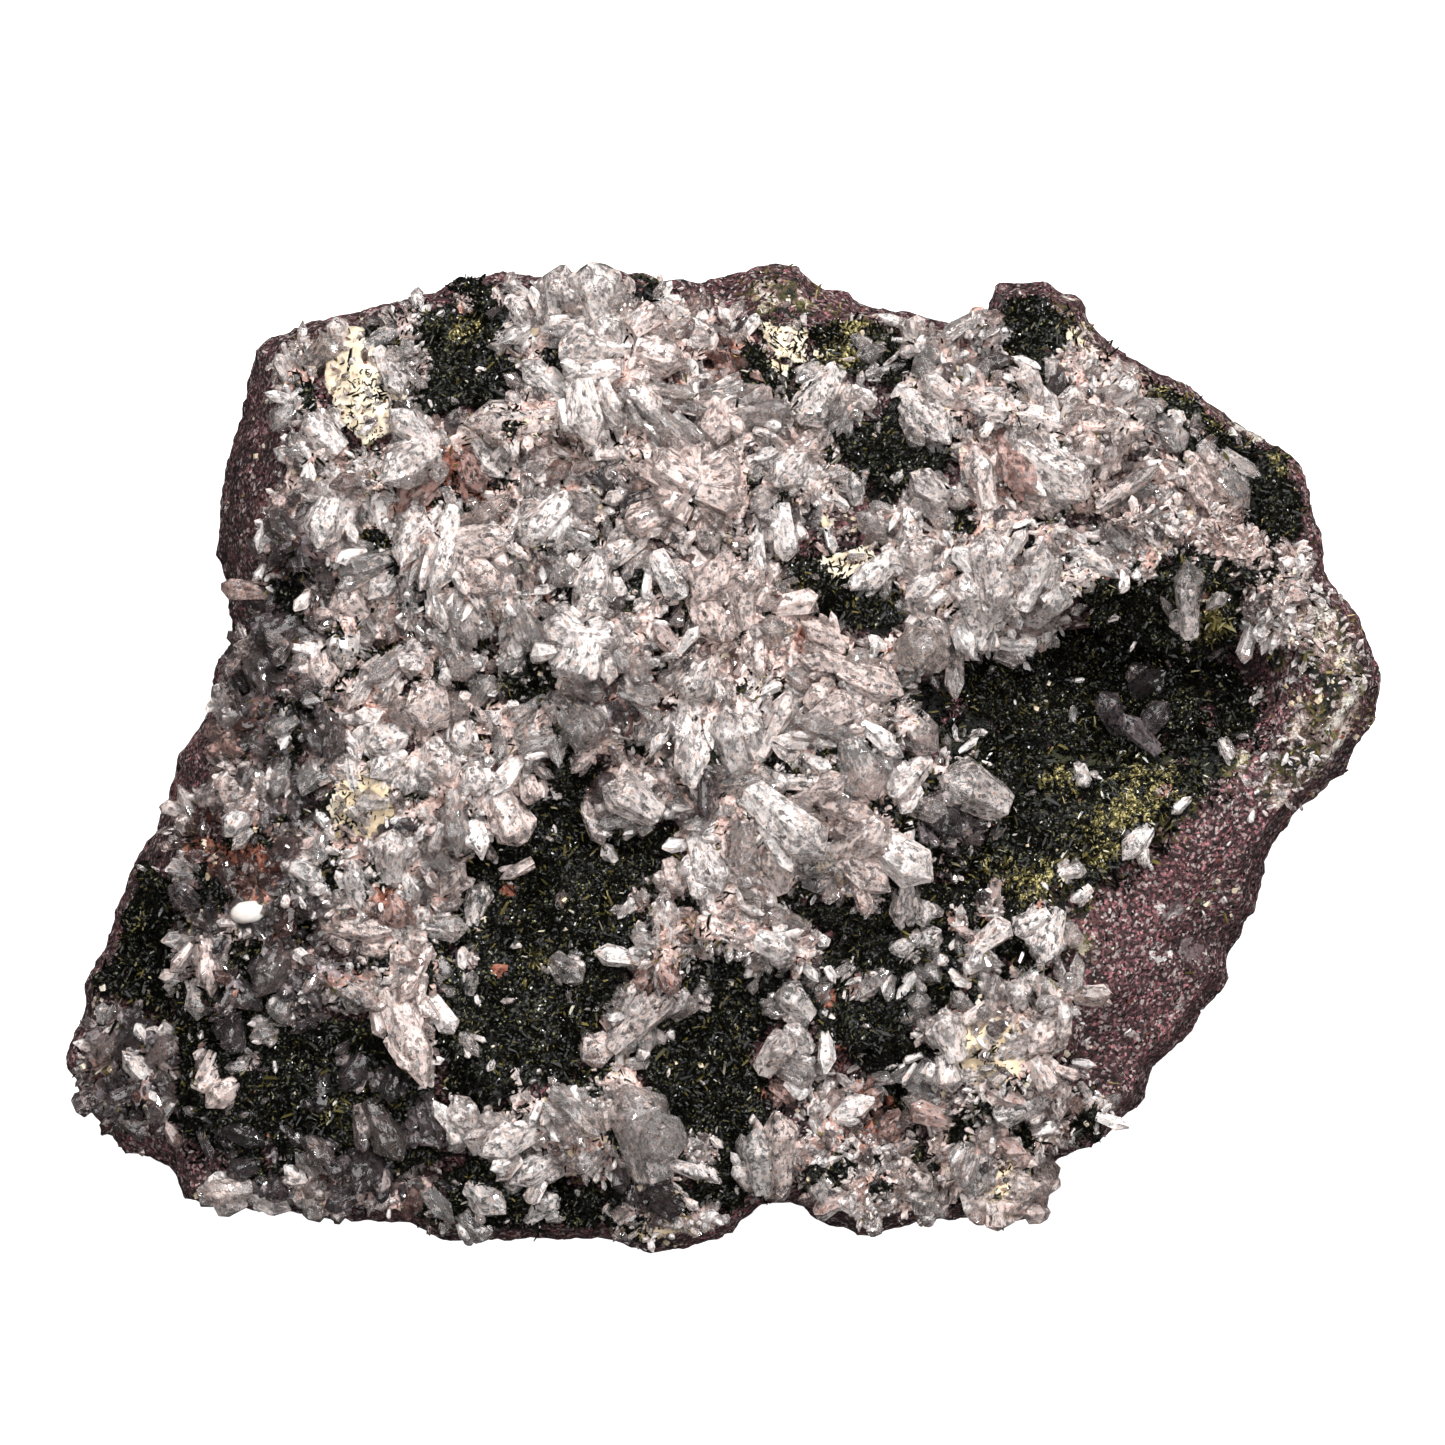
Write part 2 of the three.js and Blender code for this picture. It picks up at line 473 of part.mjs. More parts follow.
// Triangulation that keeps the rim's edges: ear clipping, then each point splits the triangle that
// holds it, and edges flip until the triangles are well shaped.
function triangulate(border, inner) {
  const points = [...border, ...inner];
  const across = new Map();
  const key = (a, b) => a * points.length + b;
  const put = (a, b, c) => {
    across.set(key(a, b), c);
    across.set(key(b, c), a);
    across.set(key(c, a), b);
  };
  const take = (a, b, c) => {
    across.delete(key(a, b));
    across.delete(key(b, c));
    across.delete(key(c, a));
  };
  const turn = (a, b, c) => (points[b].x - points[a].x) * (points[c].y - points[a].y)
    - (points[b].y - points[a].y) * (points[c].x - points[a].x);
  const inCircle = (a, b, c, d) => {
    const [p, q, r] = [a, b, c].map((i) => points[i].clone().sub(points[d]));
    return p.lengthSq() * (q.x * r.y - q.y * r.x) - q.lengthSq() * (p.x * r.y - p.y * r.x)
      + r.lengthSq() * (p.x * q.y - p.y * q.x) > 1e-9;
  };
  const settle = (a, b) => {
    const queue = [[a, b]];
    while (queue.length) {
      const [m, n] = queue.pop();
      const c = across.get(key(m, n));
      const d = across.get(key(n, m));
      if (c === undefined || d === undefined || !inCircle(m, n, c, d)) continue;
      if (turn(m, d, c) <= 0 || turn(d, n, c) <= 0) continue;
      take(m, n, c);
      take(n, m, d);
      put(m, d, c);
      put(d, n, c);
      queue.push([m, d], [d, n], [n, c], [c, m]);
    }
  };
  const triangles = () => {
    const list = [];
    for (const [edge, c] of across) {
      const a = Math.floor(edge / points.length);
      const b = edge % points.length;
      if (a < b && a < c) list.push([a, b, c]);
    }
    return list;
  };
  for (const [a, b, c] of THREE.ShapeUtils.triangulateShape(border, [])) {
    if (turn(a, b, c) > 0) put(a, b, c);
    else put(a, c, b);
  }
  for (const [a, b, c] of triangles()) for (const [m, n] of [[a, b], [b, c], [c, a]]) settle(m, n);
  for (let i = border.length; i < points.length; i += 1) {
    const holds = ([a, b, c]) => turn(a, b, i) > 0 && turn(b, c, i) > 0 && turn(c, a, i) > 0;
    const holder = triangles().find(holds);
    if (!holder) continue;
    const [a, b, c] = holder;
    take(a, b, c);
    put(a, b, i);
    put(b, c, i);
    put(c, a, i);
    for (const [m, n] of [[a, b], [b, c], [c, a]]) settle(m, n);
  }
  return { points, faces: triangles() };
}

// The host rock: the upper side and the broken back share the rim.
const upperRows = [
  ...featurePoints(lipLine, 2),
  ...LIP_ROWS.flatMap((row) => featurePoints(besideLine(lipLine, -row), 1.8)),
  ...featurePoints(LEFT_EDGE.map(at), 2.2),
  ...steps.flatMap(({ border }) => featurePoints([...border, border[0]], 3)),
];
const insets = (rings) => rings.flatMap((inset) => ringPoints(inset, RIM_SPACING));
const upper = triangulate(rimLine, spread([...upperRows, ...insets(TOP_RINGS)], ROCK_SPACING, 11));
const back = triangulate(rimLine, spread(insets(UNDERSIDE_RINGS), UNDERSIDE_SPACING, 23));

const rimCount = rimLine.length;
const rockPoints = [
  ...upper.points.map((p, i) => (
    i < rimCount ? new THREE.Vector3(p.x, p.y, rimHeights[i]) : upperPoint(p))),
  ...back.points.slice(rimCount).map(undersidePoint),
];
const backIndex = (i) => (i < rimCount ? i : i + upper.points.length - rimCount);
const rockFaces = [
  ...upper.faces,
  ...back.faces.map(([a, b, c]) => [backIndex(a), backIndex(c), backIndex(b)]),
];

function solidFrom(points, faces) {
  return new wasm.Manifold(new wasm.Mesh({
    numProp: 3,
    vertProperties: new Float32Array(points.flatMap((p) => [p.x, p.y, p.z])),
    triVerts: new Uint32Array(faces.flat()),
  }));
}

function solidOf(geometry) {
  geometry.deleteAttribute('normal');
  geometry.deleteAttribute('uv');
  const merged = mergeVertices(geometry, 1e-4);
  return new wasm.Manifold(new wasm.Mesh({
    numProp: 3,
    vertProperties: new Float32Array(merged.attributes.position.array),
    triVerts: new Uint32Array(merged.index.array),
  }));
}

const rock = solidFrom(rockPoints, rockFaces);

// The library keeps a solid until it is deleted, so joining and cutting delete what they use up.
function join(whole, solid) {
  const next = whole.add(solid);
  whole.delete();
  solid.delete();
  return next;
}

function largestPiece(solid) {
  const parts = solid.decompose();
  const best = parts.reduce((large, part) => (part.volume() > large.volume() ? part : large));
  parts.filter((part) => part !== best).forEach((part) => part.delete());
  solid.delete();
  return best;
}

// Facets of the rock's upper side, and what grows on each of them
const facetMiddle = ([a, b, c]) => upper.points[a].clone().add(upper.points[b]).add(upper.points[c])
  .divideScalar(3);
const growths = GROWTHS.map((growth) => ({ ...growth, border: growth.border.map(at) }));
const clusters = QUARTZ_CLUSTERS.map((cluster) => ({ ...cluster, kind: 'quartz', place: at(cluster.seed) }));

const facetNormals = upper.faces.map((facet) => {
  const [a, b, c] = facet.map((i) => rockPoints[i]);
  return new THREE.Triangle(a, b, c).getNormal(new THREE.Vector3());
});

function growthOn(facet, i) {
  if (facetNormals[i].z < OVERHANG) return BARE;
  const middle = facetMiddle(facet);
  const held = growths.find(({ border }) => inside(border, middle));
  if (held) return held.name;
  if (facet.some((corner) => corner < rimCount)) return BARE;
  return clusters.reduce((best, cluster) => (
    cluster.place.distanceTo(middle) < best.place.distanceTo(middle) ? cluster : best)).name;
}

const facetGrowth = upper.faces.map(growthOn);
const cornerNormals = upper.points.map(() => new THREE.Vector3());
upper.faces.forEach((facet, i) => facet.forEach((corner) => cornerNormals[corner].add(facetNormals[i])));
cornerNormals.forEach((normal) => normal.normalize());

// Height of the rock's upper side under a place
function rockHeightAt(p) {
  let height = 0;
  for (const facet of upper.faces) {
    const [a, b, c] = facet.map((i) => rockPoints[i]);
    const bary = THREE.Triangle.getBarycoord(new THREE.Vector3(p.x, p.y, 0), new THREE.Vector3(a.x, a.y, 0),
      new THREE.Vector3(b.x, b.y, 0), new THREE.Vector3(c.x, c.y, 0), new THREE.Vector3());
    if (bary && bary.x >= 0 && bary.y >= 0 && bary.z >= 0) {
      height = Math.max(height, a.z * bary.x + b.z * bary.y + c.z * bary.z);
    }
  }
  return height;
}

// Sets of things that are joined step by step
function joiner(count) {
  const parent = Array.from({ length: count }, (_, i) => i);
  const root = (i) => (parent[i] === i ? i : (parent[i] = root(parent[i])));
  return { root, join: (i, j) => { parent[root(i)] = root(j); } };
}

// The facets of one growth that hang together by their edges, the largest such group
function groupOf(name) {
  const facets = upper.faces.filter((_, i) => facetGrowth[i] === name);
  const sets = joiner(facets.length);
  const owner = new Map();
  facets.forEach((facet, i) => facet.forEach((a, k) => {
    const b = facet[(k + 1) % 3];
    const edge = `${Math.min(a, b)} ${Math.max(a, b)}`;
    if (owner.has(edge)) sets.join(i, owner.get(edge));
    else owner.set(edge, i);
  }));
  const groups = Map.groupBy(facets, (facet) => sets.root(facets.indexOf(facet)));
  return [...groups.values()].reduce((best, group) => (group.length > best.length ? group : best), []);
}

// One growth as a closed crust over its facets, clear of the rock, with points that stand out of it.
// Made larger by the gap all round, the same crust cuts its neighbours clear of it.
function crust(facets, form, seed, larger = 0) {
  const corners = joiner(facets.length * 3);
  const edges = new Map();
  facets.forEach((facet, i) => facet.forEach((a, k) => {
    const b = facet[(k + 1) % 3];
    edges.set(`${a} ${b}`, [3 * i + k, 3 * i + (k + 1) % 3]);
  }));
  const borderCorners = new Set();
  const borderEdges = [];
  for (const [edge, [from, to]] of edges) {
    const [a, b] = edge.split(' ');
    const opposite = edges.get(`${b} ${a}`);
    if (opposite) {
      corners.join(from, opposite[1]);
      corners.join(to, opposite[0]);
    } else borderEdges.push([from, to]);
  }
  borderEdges.flat().forEach((corner) => borderCorners.add(corners.root(corner)));

  const fans = Map.groupBy(facets.flatMap((facet, i) => [0, 1, 2].map((k) => ({ facet, k, id: 3 * i + k }))),
    ({ id }) => corners.root(id));
  const index = new Map([...fans.keys()].map((root, i) => [root, i]));
  const up = new THREE.Vector3(0, 0, 1);
  const below = [];
  const above = [];
  for (const [root, fan] of fans) {
    const corner = fan[0].facet[fan[0].k];
    const foot = rockPoints[corner].clone();
    const onBorder = borderCorners.has(root);
    if (onBorder) {
      const middle = new THREE.Vector3();
      fan.forEach(({ facet }) => facet.forEach((i) => middle.add(rockPoints[i])));
      const shrink = larger ? 0 : BORDER_SHRINK;
      foot.lerp(middle.divideScalar(3 * fan.length), shrink);
      if (!form.overhung) foot.z = rockHeightAt(foot);
    }
    const normal = cornerNormals[corner];
    const outward = normal.z > 0.35 ? normal.clone().add(up).normalize() : normal.clone();
    const point = form.points * chanceAt(corner, seed) ** 1.6;
    const height = onBorder ? form.edge : form.body + point;
    below.push(foot.clone().addScaledVector(normal, GAP * 1.15 - larger));
    above.push(foot.clone().addScaledVector(outward, GAP + height + larger));
  }
  const count = below.length;
  const id = (i) => index.get(corners.root(i));
  const shell = [];
  facets.forEach((_, i) => {
    const [a, b, c] = [id(3 * i), id(3 * i + 1), id(3 * i + 2)];
    shell.push([a, c, b], [a + count, b + count, c + count]);
  });
  borderEdges.forEach(([from, to]) => {
    const [a, b] = [id(from), id(to)];
    shell.push([a, b, b + count], [a, b + count, a + count]);
  });
  return solidFrom([...below, ...above], shell);
}

// A crystal's frame: from the direction of the Y axis to that of its own length, larger if wanted
function standAlong(geometry, foot, tip, larger) {
  const along = tip.clone().sub(foot).normalize();
  geometry.applyQuaternion(new THREE.Quaternion().setFromUnitVectors(new THREE.Vector3(0, 1, 0), along));
  geometry.translate(...foot.clone().addScaledVector(along, -larger).toArray());
  return solidOf(geometry);
}

// A quartz crystal: six prism faces, and a point a little off its middle
function quartzPoint(foot, tip, width, seed, larger = 0) {
  const length = foot.distanceTo(tip) + 2.5 * larger;
  const random = randomFrom(seed);
  const radius = width / 2 / Math.cos(Math.PI / 6) + larger * 1.3;
  const body = length - Math.min(length * TIP_SHARE * 1.4, width * 1.05);
  const geometry = new THREE.CylinderGeometry(0, radius * ROOT_TAPER, length, 6, 2);
  geometry.translate(0, length / 2, 0);
  geometry.deleteAttribute('normal');
  geometry.deleteAttribute('uv');
  const crystal = mergeVertices(geometry, 1e-4);
  const position = crystal.attributes.position;
  const lean = radius * 0.3;
  const [leanX, leanZ] = [lean * (random() - 0.5), lean * (random() - 0.5)];
  for (let i = 0; i < position.count; i += 1) {
    const y = position.getY(i);
    if (y > length * 0.25 && y < length * 0.75) {
      const grow = radius / Math.hypot(position.getX(i), position.getZ(i));
      const side = Math.round(Math.atan2(position.getZ(i), position.getX(i)) / (Math.PI / 3) + 6) % 2;
      const step = width * (side ? 0.12 : -0.12);
      position.setXYZ(i, position.getX(i) * grow, body + step, position.getZ(i) * grow);
    } else if (y >= length * 0.75) position.setXYZ(i, leanX, length, leanZ);
  }
  crystal.scale(1, 1, mix(0.78, 1, random()));
  crystal.rotateY(random() * Math.PI);
  return standAlong(crystal, foot, tip, larger);
}

// An epidote blade: four long faces and a slanting end
function epidoteBlade(foot, tip, width, seed, larger = 0) {
  const length = foot.distanceTo(tip) + 2 * larger;
  const blade = new THREE.CylinderGeometry(width * 0.34 + larger, width * 0.5 + larger, length, 4, 1);
  blade.translate(0, length / 2, 0);
  blade.scale(1, 1, 0.5 + larger);
  blade.rotateY(chanceAt(seed, 3) * Math.PI);
  return standAlong(blade, foot, tip, larger);
}

// A crystal given by its picture places, with its foot sunk into what it grows from. This and the
// next two give functions that make the crystals, larger if wanted.
function pictureCrystal([footX, footY, tipX, tipY, widthPx, rise], seed) {
  const foot = at([footX, footY]);
  const tip = at([tipX, tipY]);
  const ground = Math.max(rockHeightAt(foot), rockHeightAt(foot.clone().lerp(tip, 0.4)));
  const top = new THREE.Vector3(tip.x, tip.y, Math.max(ground, rockHeightAt(tip)) + rise);
  const start = new THREE.Vector3(foot.x, foot.y, ground + GROWTH_FORM.quartz.body);
  const back = start.clone().sub(top).normalize();
  start.addScaledVector(back, CRYSTAL_ROOT);
  return (larger) => quartzPoint(start, top, widthPx * MM_PER_PX, seed, larger);
}

const MAX_LEAN = 1.1;            // sideways reach over rise of a cluster's crystals
const SPLAY_DISTANCE = 10;       // from a cluster's middle to where its crystals lean fully

function splayedCrystals(cluster, facets, seed) {
  const random = randomFrom(seed);
  const crystals = [];
  for (let i = 0; i < cluster.crystals; i += 1) {
    const facet = facets[Math.floor(((i + random()) / cluster.crystals) * facets.length)];
    const middle = facet.reduce((sum, k) => sum.add(rockPoints[k]), new THREE.Vector3()).divideScalar(3);
    const normal = new THREE.Triangle(...facet.map((k) => rockPoints[k])).getNormal(new THREE.Vector3());
    const away = new THREE.Vector3(middle.x - cluster.place.x, middle.y - cluster.place.y, 0)
      .divideScalar(SPLAY_DISTANCE).clampLength(0, MAX_LEAN);
    away.add(new THREE.Vector3(random() - 0.5, random() - 0.5, 0));
    const along = normal.clone().add(away).add(new THREE.Vector3(0, 0, 0.4)).normalize();
    const length = mix(...QUARTZ_LENGTH, random() ** 1.5);
    const width = length * mix(...QUARTZ_SLENDERNESS, random());
    const foot = middle.clone().addScaledVector(along, GAP + width * 0.25);
    const tip = foot.clone().addScaledVector(along, length);
    crystals.push((larger) => quartzPoint(foot, tip, width, seed + i, larger));
  }
  return crystals;
}

function epidoteBlades(facets, seed) {
  if (facets.length < BLADE_MIN_FACETS) return [];
  const random = randomFrom(seed);
  return Array.from({ length: BLADES_PER_PATCH }, (_, i) => {
    const facet = facets[Math.floor(((i + random()) / BLADES_PER_PATCH) * facets.length)];
    const middle = facet.reduce((sum, k) => sum.add(rockPoints[k]), new THREE.Vector3()).divideScalar(3);
    const normal = new THREE.Triangle(...facet.map((k) => rockPoints[k])).getNormal(new THREE.Vector3());
    const along = normal.add(new THREE.Vector3(random() - 0.5, random() - 0.5, 0.3)).normalize();
    const foot = middle.clone().addScaledVector(along, GAP + GROWTH_FORM.epidote.body * 0.5);
    const tip = foot.clone().addScaledVector(along, mix(...BLADE_LENGTH, random()));
    const width = mix(...BLADE_WIDTH, random());
    return (larger) => epidoteBlade(foot, tip, width, seed + i, larger);
  });
}

// Every piece in the order it is laid down; each is cut clear of those already there.
const pieces = [{ name: 'host_rock', kind: 'rock', solid: rock, cutters: [rock.translate([0, 0, GAP])] }];

function overlaps(a, b) {
  const [p, q] = [a.boundingBox(), b.boundingBox()];
  return [0, 1, 2].every((k) => p.min[k] < q.max[k] && q.min[k] < p.max[k]);
}

function cutClear(solid, cutters) {
  return cutters.filter((cutter) => overlaps(solid, cutter)).reduce((left, cutter) => {
    const next = left.subtract(cutter);
    left.delete();
    return next;
  }, solid);
}

function grow(crystals, cutters) {
  return cutClear(crystals.map((crystal) => crystal(0)).reduce(join), cutters);
}

// A crust follows the rock at the gap's distance, and is cut where a ridge comes nearer than half.
const touching = [GAP / 2, -GAP / 2].map((move) => rock.translate([0, 0, move]));
const cuttersOf = (list) => list.flatMap(({ solid, cutters }) => [solid, ...cutters]);
const patches = [...growths.filter(({ name }) => name), ...clusters].map((growth, i) => ({
  ...growth,
  place: growth.place ?? (growth.seed && at(growth.seed)),
  facets: groupOf(growth.name),
  seed: 101 + 37 * i,
})).filter(({ facets }) => facets.length > 2);
patches.forEach((patch) => {
  patch.solid = cutClear(crust(patch.facets, GROWTH_FORM[patch.kind], patch.seed), touching);
  patch.cutters = [crust(patch.facets, GROWTH_FORM[patch.kind], patch.seed, GAP * 1.5)];
});

for (const patch of patches) {
  const { name, kind, facets, seed } = patch;
  const crystals = (LONG_CRYSTALS[name] ?? []).map((crystal, i) => pictureCrystal(crystal, seed + 50 + i));
  if (kind === 'epidote') crystals.push(...epidoteBlades(facets, seed));
  if (patch.crystals) crystals.push(...splayedCrystals(patch, facets, seed));
  if (crystals.length) {
    const others = patches.filter((other) => other !== patch);
    patch.solid = join(patch.solid, grow(crystals, cuttersOf([pieces[0], ...others])));
    patch.cutters.push(...crystals.map((crystal) => crystal(GAP)));
  }
  patch.solid = largestPiece(patch.solid);
  pieces.push(patch);
}

function layCrystals(name, crystals) {
  const solid = largestPiece(grow(crystals, cuttersOf(pieces)));
  pieces.push({ name, kind: 'quartz', solid, cutters: crystals.map((crystal) => crystal(GAP)) });
}
LONE_CRYSTALS.forEach((crystal, i) => {
  layCrystals(`quartz_crystal_${i + 1}`, [pictureCrystal(crystal, 900 + i)]);
});
layCrystals('quartz_hollow', HOLLOW_CRYSTALS.map((crystal, i) => pictureCrystal(crystal, 950 + i)));

function waxyBead({ place, length, width }) {
  const bead = new THREE.SphereGeometry(0.5, 10, 7);
  bead.scale(length, width, width);
  bead.rotateZ(0.15);
  const centre = at(place);
  bead.translate(centre.x, centre.y, rockHeightAt(centre) + GROWTH_FORM.quartz.body + width * 0.45);
  return solidOf(bead);
}
const bead = largestPiece(cutClear(waxyBead(WAXY_BEAD), cuttersOf(pieces)));
pieces.push({ name: 'waxy_bead', kind: 'bead', solid: bead, cutters: [] });

// The specimen
const specimen = new THREE.Group();
for (const { name, kind, solid } of pieces) {
  const mesh = solid.getMesh();
  const geometry = new THREE.BufferGeometry();
  geometry.setAttribute('position', new THREE.BufferAttribute(mesh.vertProperties, 3));
  geometry.setIndex(new THREE.BufferAttribute(mesh.triVerts, 1));
  const piece = new THREE.Mesh(geometry, MATERIALS[kind]);
  piece.name = name;
  specimen.add(piece);
}

export default specimen;
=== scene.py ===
"""Looks of the epidote crystal cluster: a slab of purple-brown volcanic rock that lies on its broken back,
grown over with dark green epidote druse, clear to pink quartz crystals and cream feldspar."""

import json
import math
from functools import cache

import bpy
import numpy as np
from bpy.props import FloatProperty, FloatVectorProperty, PointerProperty
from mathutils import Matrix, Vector
from mathutils.bvhtree import BVHTree

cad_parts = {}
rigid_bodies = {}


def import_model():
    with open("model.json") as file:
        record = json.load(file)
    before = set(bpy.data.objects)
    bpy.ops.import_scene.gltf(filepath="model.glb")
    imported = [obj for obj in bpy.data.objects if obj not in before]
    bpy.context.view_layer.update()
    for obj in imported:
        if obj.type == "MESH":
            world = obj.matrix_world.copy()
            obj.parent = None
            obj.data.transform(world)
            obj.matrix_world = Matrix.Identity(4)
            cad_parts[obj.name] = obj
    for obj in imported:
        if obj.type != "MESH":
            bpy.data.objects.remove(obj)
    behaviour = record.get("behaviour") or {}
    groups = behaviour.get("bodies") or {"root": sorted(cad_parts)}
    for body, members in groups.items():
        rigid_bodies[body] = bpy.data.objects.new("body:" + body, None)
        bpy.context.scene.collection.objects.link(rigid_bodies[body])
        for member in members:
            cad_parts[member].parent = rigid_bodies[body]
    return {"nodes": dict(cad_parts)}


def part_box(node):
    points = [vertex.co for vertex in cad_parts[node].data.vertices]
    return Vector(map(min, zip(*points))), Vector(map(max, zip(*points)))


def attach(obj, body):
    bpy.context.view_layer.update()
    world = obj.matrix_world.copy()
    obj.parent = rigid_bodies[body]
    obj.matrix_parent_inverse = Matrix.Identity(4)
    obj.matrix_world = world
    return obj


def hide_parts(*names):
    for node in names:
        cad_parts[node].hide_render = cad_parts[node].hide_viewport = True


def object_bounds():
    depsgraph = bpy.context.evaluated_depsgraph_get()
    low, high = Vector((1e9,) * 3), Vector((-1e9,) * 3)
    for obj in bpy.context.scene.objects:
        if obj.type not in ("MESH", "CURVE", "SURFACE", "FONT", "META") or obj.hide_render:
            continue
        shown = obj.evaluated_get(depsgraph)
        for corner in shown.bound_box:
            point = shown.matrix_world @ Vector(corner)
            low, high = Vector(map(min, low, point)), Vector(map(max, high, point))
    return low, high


bl_info = {
    "name": "Epidote crystal cluster",
    "version": (1, 0, 0),
    "blender": (4, 5, 0),
    "location": "3D View > Sidebar > Crystals",
    "description": "Dresses a slab of volcanic rock with its epidote, quartz and feldspar crystals",
    "category": "Object",
}

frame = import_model()
CAD_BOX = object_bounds()

# Places are read off the picture of the upper side, in its pixels, as they are for the solids.
SPECIMEN_WIDTH = 0.170
SPECIMEN_WIDTH_PX = 1336
PICTURE_CENTRE_PX = (720, 757)
PICTURE_SIZE_PX = 1445
METRES_PER_PX = SPECIMEN_WIDTH / SPECIMEN_WIDTH_PX
MM = 0.001


def at(x, y):
    """The place in metres of a picture place in pixels."""
    return (x - PICTURE_CENTRE_PX[0]) * METRES_PER_PX, (PICTURE_CENTRE_PX[1] - y) * METRES_PER_PX


def picture_places(points):
    """The picture places in pixels of points in metres."""
    return (
        points[:, 0] / METRES_PER_PX + PICTURE_CENTRE_PX[0],
        PICTURE_CENTRE_PX[1] - points[:, 1] / METRES_PER_PX,
    )


# Where minerals and stains gather, each spot as its picture place and its reach in pixels.
RUST_SPOTS = (
    (250, 870, 34), (205, 840, 26), (460, 470, 24), (415, 510, 20), (665, 400, 26), (725, 360, 22),
    (395, 910, 26), (870, 1110, 30), (835, 1060, 18), (770, 1095, 14), (825, 995, 14), (660, 975, 16),
    (510, 890, 10), (500, 970, 9), (758, 302, 12), (865, 310, 12), (480, 490, 18), (500, 580, 16),
    (430, 560, 20), (860, 1130, 20), (540, 590, 14), (700, 560, 18), (810, 640, 16), (220, 860, 20),
    (1126, 1005, 8), (1147, 1036, 9), (1101, 989, 7), (1360, 631, 16), (1339, 735, 14), (1202, 602, 12),
)
CREAM_SPOTS = (
    (365, 405, 40), (350, 320, 18), (850, 545, 42), (365, 805, 38), (985, 1050, 44), (790, 350, 30),
    (1285, 810, 12), (210, 1195, 22),
    (1010, 1190, 34), (660, 1240, 26), (840, 860, 26), (1300, 640, 22), (1330, 655, 22),
    (290, 840, 14), (90, 1010, 14), (1300, 700, 24), (600, 500, 14), (1080, 330, 18),
)
GREEN_SPOTS = (
    (785, 290, 48), (1160, 370, 30), (1225, 415, 30), (1290, 455, 28), (1330, 620, 55), (1345, 700, 50),
    (1310, 765, 45), (1150, 800, 60), (1095, 835, 45), (740, 1020, 16), (1030, 880, 34), (1070, 905, 28),
    (1080, 945, 18), (330, 440, 24), (470, 330, 22), (520, 800, 14), (690, 930, 14), (850, 320, 26),
    (540, 960, 18), (600, 900, 14), (470, 1030, 18), (1000, 870, 26), (1110, 500, 18), (840, 350, 26),
    (1200, 620, 30), (1230, 760, 26), (300, 350, 16), (330, 1110, 18), (800, 590, 16), (1060, 780, 26),
)
DARK_SPOTS = (
    (380, 335, 16), (650, 290, 24), (530, 680, 32), (625, 582, 30), (290, 598, 22), (420, 598, 20),
    (505, 545, 22), (755, 365, 26), (1105, 538, 22), (1262, 508, 26), (500, 480, 12), (880, 620, 22),
    (455, 650, 14), (640, 740, 18), (720, 760, 16), (560, 870, 20), (1165, 430, 22), (960, 520, 18),
    (880, 500, 16), (1010, 480, 14), (330, 520, 14), (480, 620, 12), (780, 760, 20), (860, 660, 14),
    (820, 690, 12), (330, 860, 16), (300, 920, 22), (250, 960, 26), (380, 960, 14), (540, 1200, 40),
    (430, 1210, 22), (620, 1190, 20), (820, 1180, 20), (880, 1190, 14), (1090, 470, 14),
    (900, 760, 16), (340, 640, 10), (960, 860, 20), (755, 480, 10), (1090, 1130, 26), (150, 960, 34),
    (930, 700, 26), (965, 740, 36), (1010, 760, 36), (1060, 745, 30), (1110, 765, 34), (1160, 775, 34),
    (1210, 755, 30), (1238, 712, 26), (1235, 672, 20), (900, 690, 16), (1000, 810, 30), (960, 800, 20),
    (1110, 820, 34), (1050, 830, 30), (1175, 810, 14), (1020, 900, 22), (1040, 940, 18),
)
PALE_SPOTS = (
    (545, 790, 12), (700, 1000, 12), (990, 905, 16), (1045, 915, 18), (640, 900, 14), (225, 1010, 14),
    (300, 1010, 20), (250, 1060, 12), (355, 1080, 12), (955, 920, 12), (1165, 790, 8), (600, 1100, 20),
    (700, 1150, 20), (860, 985, 16), (905, 1140, 12), (1195, 430, 10), (870, 900, 14), (470, 960, 10),
    (400, 318, 24), (410, 365, 24), (402, 402, 18), (465, 306, 12), (505, 296, 16), (520, 330, 14),
)
BARE_SPOTS = ((510, 300, 26), (520, 330, 16), (1130, 372, 12), (1250, 665, 20), (1272, 705, 14))
# quartz and feldspar that the broken faces cut through
WHITE_SPOTS = (
    (1140, 834, 16), (1125, 850, 16), (1075, 870, 16), (1076, 895, 16), (1168, 910, 16), (1184, 904, 14),
    (1160, 953, 16), (1186, 948, 18), (1204, 956, 14), (1196, 1000, 18), (1182, 1012, 14),
    (1074, 1019, 10), (1084, 1041, 9), (1288, 812, 14), (1214, 882, 7), (1213, 905, 7),
    (1334, 643, 20), (1341, 673, 18), (1290, 678, 16), (1301, 702, 18), (1301, 765, 34),
    (965, 1095, 16), (1320, 794, 16), (1202, 791, 8), (1169, 826, 9), (1250, 780, 14), (1265, 770, 16),
)
PINK_SPOTS = (
    (605, 345, 70), (690, 470, 70), (740, 600, 90), (1200, 480, 40), (590, 1045, 34), (665, 920, 36),
    (960, 1190, 80), (1230, 560, 60), (560, 430, 60), (860, 800, 60), (230, 800, 40), (480, 540, 50),
    (380, 1010, 40), (500, 1130, 40), (1100, 480, 50), (440, 700, 60),
)

